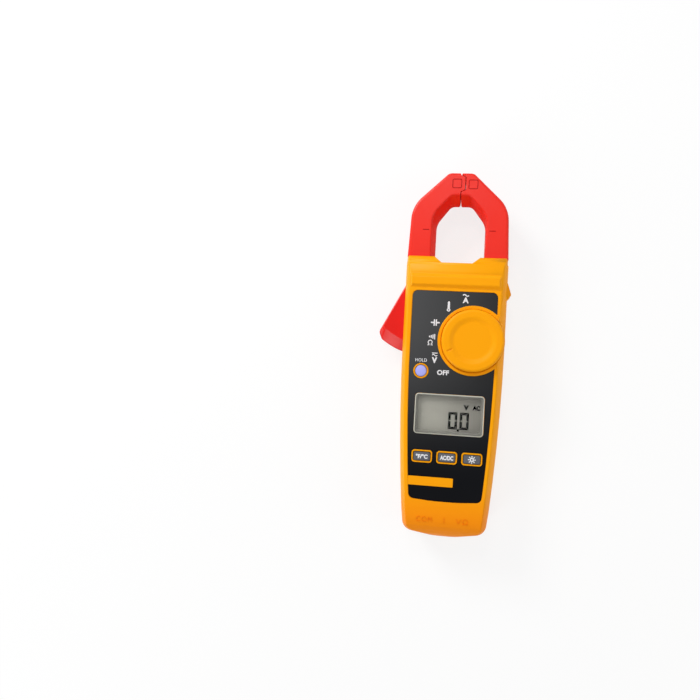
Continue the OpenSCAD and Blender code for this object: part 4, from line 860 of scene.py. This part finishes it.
def arm_points(sign):
    """Jaw arm: a closed section carried along the arm between its outer and inner outlines.
    A section point is outer (1 - s) + inner s + c w, where w points across the arm. Both edges are quarter
    rounds, and the inner wall swells from the inner outline to a tighter one at mid-depth, which lies a
    little to the right. The last leg runs on to the split, which opens into a notch at each end."""
    outer, inner = bent_path(OUTER, OUTER_BENDS), bent_path(INNER, INNER_BENDS)
    mid = bent_path(MID, MID_BENDS)
    reach = np.concatenate([np.zeros(len(outer) - LEG_STEPS), np.linspace(0, 1, LEG_STEPS)])[:, None]
    mid[:, :1] += sign * MID_SHIFT * (1 - reach)
    across = inner - outer
    across /= np.linalg.norm(across, axis=1, keepdims=True)
    share, bulge, push, rise = arm_section()
    flat = outer[:, None] * (1 - share)[:, None] + inner[:, None] * share[:, None] \
        + (mid - inner)[:, None] * bulge[:, None] + across[:, None] * push[:, None]
    y = flat[..., 1]
    line_y = np.linspace(MID_THROAT - SPLIT_ROOM, TIP, SPLIT_STEPS)
    slope = np.interp(y, line_y, np.gradient(split_x(line_y), line_y))
    notch = NOTCH_W * (smooth_step(TIP - NOTCH_D, TIP, y) + 1 - smooth_step(0, NOTCH_D, y - y[:, -1:]))
    end = sign * split_x(y) + SPLIT_GAP / 2 * np.sqrt(1 + slope ** 2) + notch
    x = flat[..., 0] + reach * end
    middle_z = (JAW_HIGH + JAW_LOW) / 2
    rise = np.broadcast_to(rise, y.shape)
    front = np.stack([x, y, middle_z + rise], -1)
    back = np.stack([x, y, middle_z - rise], -1)[:, ::-1]
    points = np.concatenate([front, back], 1)
    points[..., 0] *= sign
    points *= MM
    points[..., 1] += FOOT_Y
    return points


winding_copper = moulded("winding_copper", (196, 122, 66), (160, 88, 40), grain=5000.0, gloss=0.35,
                         depth=0.05, Metallic=0.6)
dress(steel, "left_core", "right_core", "left_pivot_pin", "right_pivot_pin", "return_spring")
dress(winding_copper, "left_winding", "right_winding")

jaw_red = moulded("jaw_red", (240, 43, 25), (228, 32, 18), gloss=0.32, smudge=0.1, Specular_IOR_Level=0.28)
for node, sign in (("left_jaw", -1), ("right_jaw", 1)):
    arm = grid_form(node + "_arm", arm_points(sign), "fold")
    root = foot_of(node, (0, station(SEAM) - CUT, 0), (0, 1, 0))
    piece(node + "_arm", gathered(node + "_arm", [arm, root]), node, jaw_red, [node])

# The trigger is the same red plastic as the jaws; its deeper red is painted shade, where the case shades
# it.
trigger_red_shaded = moulded("trigger_red_shaded", (230, 26, 16), (220, 20, 12), gloss=0.32, smudge=0.1,
                      Specular_IOR_Level=0.22)
softened("trigger", "left_jaw", trigger_red_shaded, radius=TRIGGER_EDGE, segments=TRIGGER_STEPS,
         sharp_angle=TRIGGER_SHARP)

# The frames and dashes are engraved in the red plastic; their dark red is painted shade in the grooves.
engraving_shade_red = moulded("engraving_shade_red", (172, 10, 10), (154, 6, 6), gloss=0.6, Specular_IOR_Level=0.1)
for body, (middle, dash) in JAW_LINES.items():
    ring = rounded_rect(FRAME_SIDE, FRAME_SIDE, FRAME_CORNER) + np.array(middle)
    lines = [stroke(ring, FRAME_LINE, JAW_HIGH, LINE_T, closed=True),
             stroke([(x, DASH_Y) for x in dash], DASH_LINE, JAW_HIGH, LINE_T)]
    piece(body + "_lines", gathered(body + "_lines", lines), body, engraving_shade_red)

# Case screws
# Five zinc-plated steel screws with cross heads. They go in from the back, in sunk holes, and hold the
# two covers together.
softened("case_screws", "case", steel, radius=SCREW_EDGE)

# Room
# A plain pale floor, soft lamps and a white surround, with the camera over the meter. The surround gives
# less light than it shows, and the floor is lightened where the camera sees it.
IMAGE_SIDE, FOCAL_PX, OPTICAL_X_PX, SENSOR = 700, 568.0, 405.0, 36.0
CAMERA_X, CAMERA_Y, CAMERA_Z = 10.47, 95.77, 344.53
CAMERA_TURN = (1.762, 6.569, 3.133)
SURROUND_LIGHT = 0.43
FLOOR_HALF, FLOOR_GREY, FLOOR_GLOW = 3.0, 0.94, 0.8
WHITE = (1, 1, 1, 1)
# lamps, in metres and watts: place, aim, side, power
LAMPS = {
    "key_lamp": ((-0.55, 0.6, 0.5), (0, 0, 0.02), 0.3, 5.6),
    "top_lamp": ((-0.06, 0.38, 0.6), (0, 0.05, 0.02), 0.12, 0.5),
    "front_lamp": ((-0.58, -0.65, 0.38), (0, 0, 0.02), 0.3, 2.2),
    "fill_lamp": ((0.75, -0.1, 0.4), (0, 0, 0.02), 0.5, 1.6),
}

camera = in_scene("camera", bpy.data.cameras.new("camera"))
camera.data.sensor_width = SENSOR
camera.data.lens = FOCAL_PX / IMAGE_SIDE * SENSOR
camera.data.shift_x = (IMAGE_SIDE / 2 - OPTICAL_X_PX) / IMAGE_SIDE
camera.location = (CAMERA_X * MM, station(CAMERA_Y), CAMERA_Z * MM)
camera.rotation_euler = np.radians(CAMERA_TURN)
bpy.context.scene.camera = camera

world = bpy.data.worlds.new("surround")
bpy.context.scene.world = world
world.use_nodes = True
sky = world.node_tree
sky.nodes.clear()
path = add_node(sky, "ShaderNodeLightPath")
straight = add_node(sky, "ShaderNodeMath", {"operation": "MAXIMUM"}, Value=path.outputs["Is Camera Ray"],
                    Value_001=path.outputs["Is Glossy Ray"])
shown = add_node(sky, "ShaderNodeMath", {"operation": "MAXIMUM"}, Value=straight.outputs[0],
                 Value_001=path.outputs["Is Transmission Ray"])
level = add_node(sky, "ShaderNodeMapRange", Value=shown.outputs[0], To_Min=SURROUND_LIGHT, To_Max=1.0)
air = add_node(sky, "ShaderNodeBackground", Color=WHITE, Strength=level.outputs["Result"])
add_node(sky, "ShaderNodeOutputWorld", Surface=air.outputs["Background"])

for name, (place, aim, side, power) in LAMPS.items():
    lamp = in_scene(name, bpy.data.lights.new(name, "AREA"))
    lamp.data.size, lamp.data.energy = side, power
    lamp.location = place
    lamp.rotation_euler = (Vector(aim) - Vector(place)).to_track_quat("-Z", "Y").to_euler()

pale_floor, tree = blank_material("pale_floor")
path = add_node(tree, "ShaderNodeLightPath")
fade = add_node(tree, "ShaderNodeMath", {"operation": "MULTIPLY"}, Value=path.outputs["Is Camera Ray"],
                Value_001=FLOOR_GLOW)
lit = add_node(tree, "ShaderNodeBsdfDiffuse", Color=(FLOOR_GREY, FLOOR_GREY, FLOOR_GREY, 1))
glow = add_node(tree, "ShaderNodeEmission", Color=WHITE)
mix = add_node(tree, "ShaderNodeMixShader", Fac=fade.outputs[0], Shader=lit.outputs[0],
               Shader_001=glow.outputs[0])
add_node(tree, "ShaderNodeOutputMaterial", Surface=mix.outputs[0])

floor_mesh = bpy.data.meshes.new("floor")
floor_corners = np.array([(-1, -1, 0), (1, -1, 0), (1, 1, 0), (-1, 1, 0)]) * FLOOR_HALF
floor_mesh.from_pydata(floor_corners.tolist(), [], [(0, 1, 2, 3)])
floor_mesh.materials.append(pale_floor)
floor = in_scene("floor", floor_mesh)

bpy.context.scene.view_settings.view_transform = "Standard"
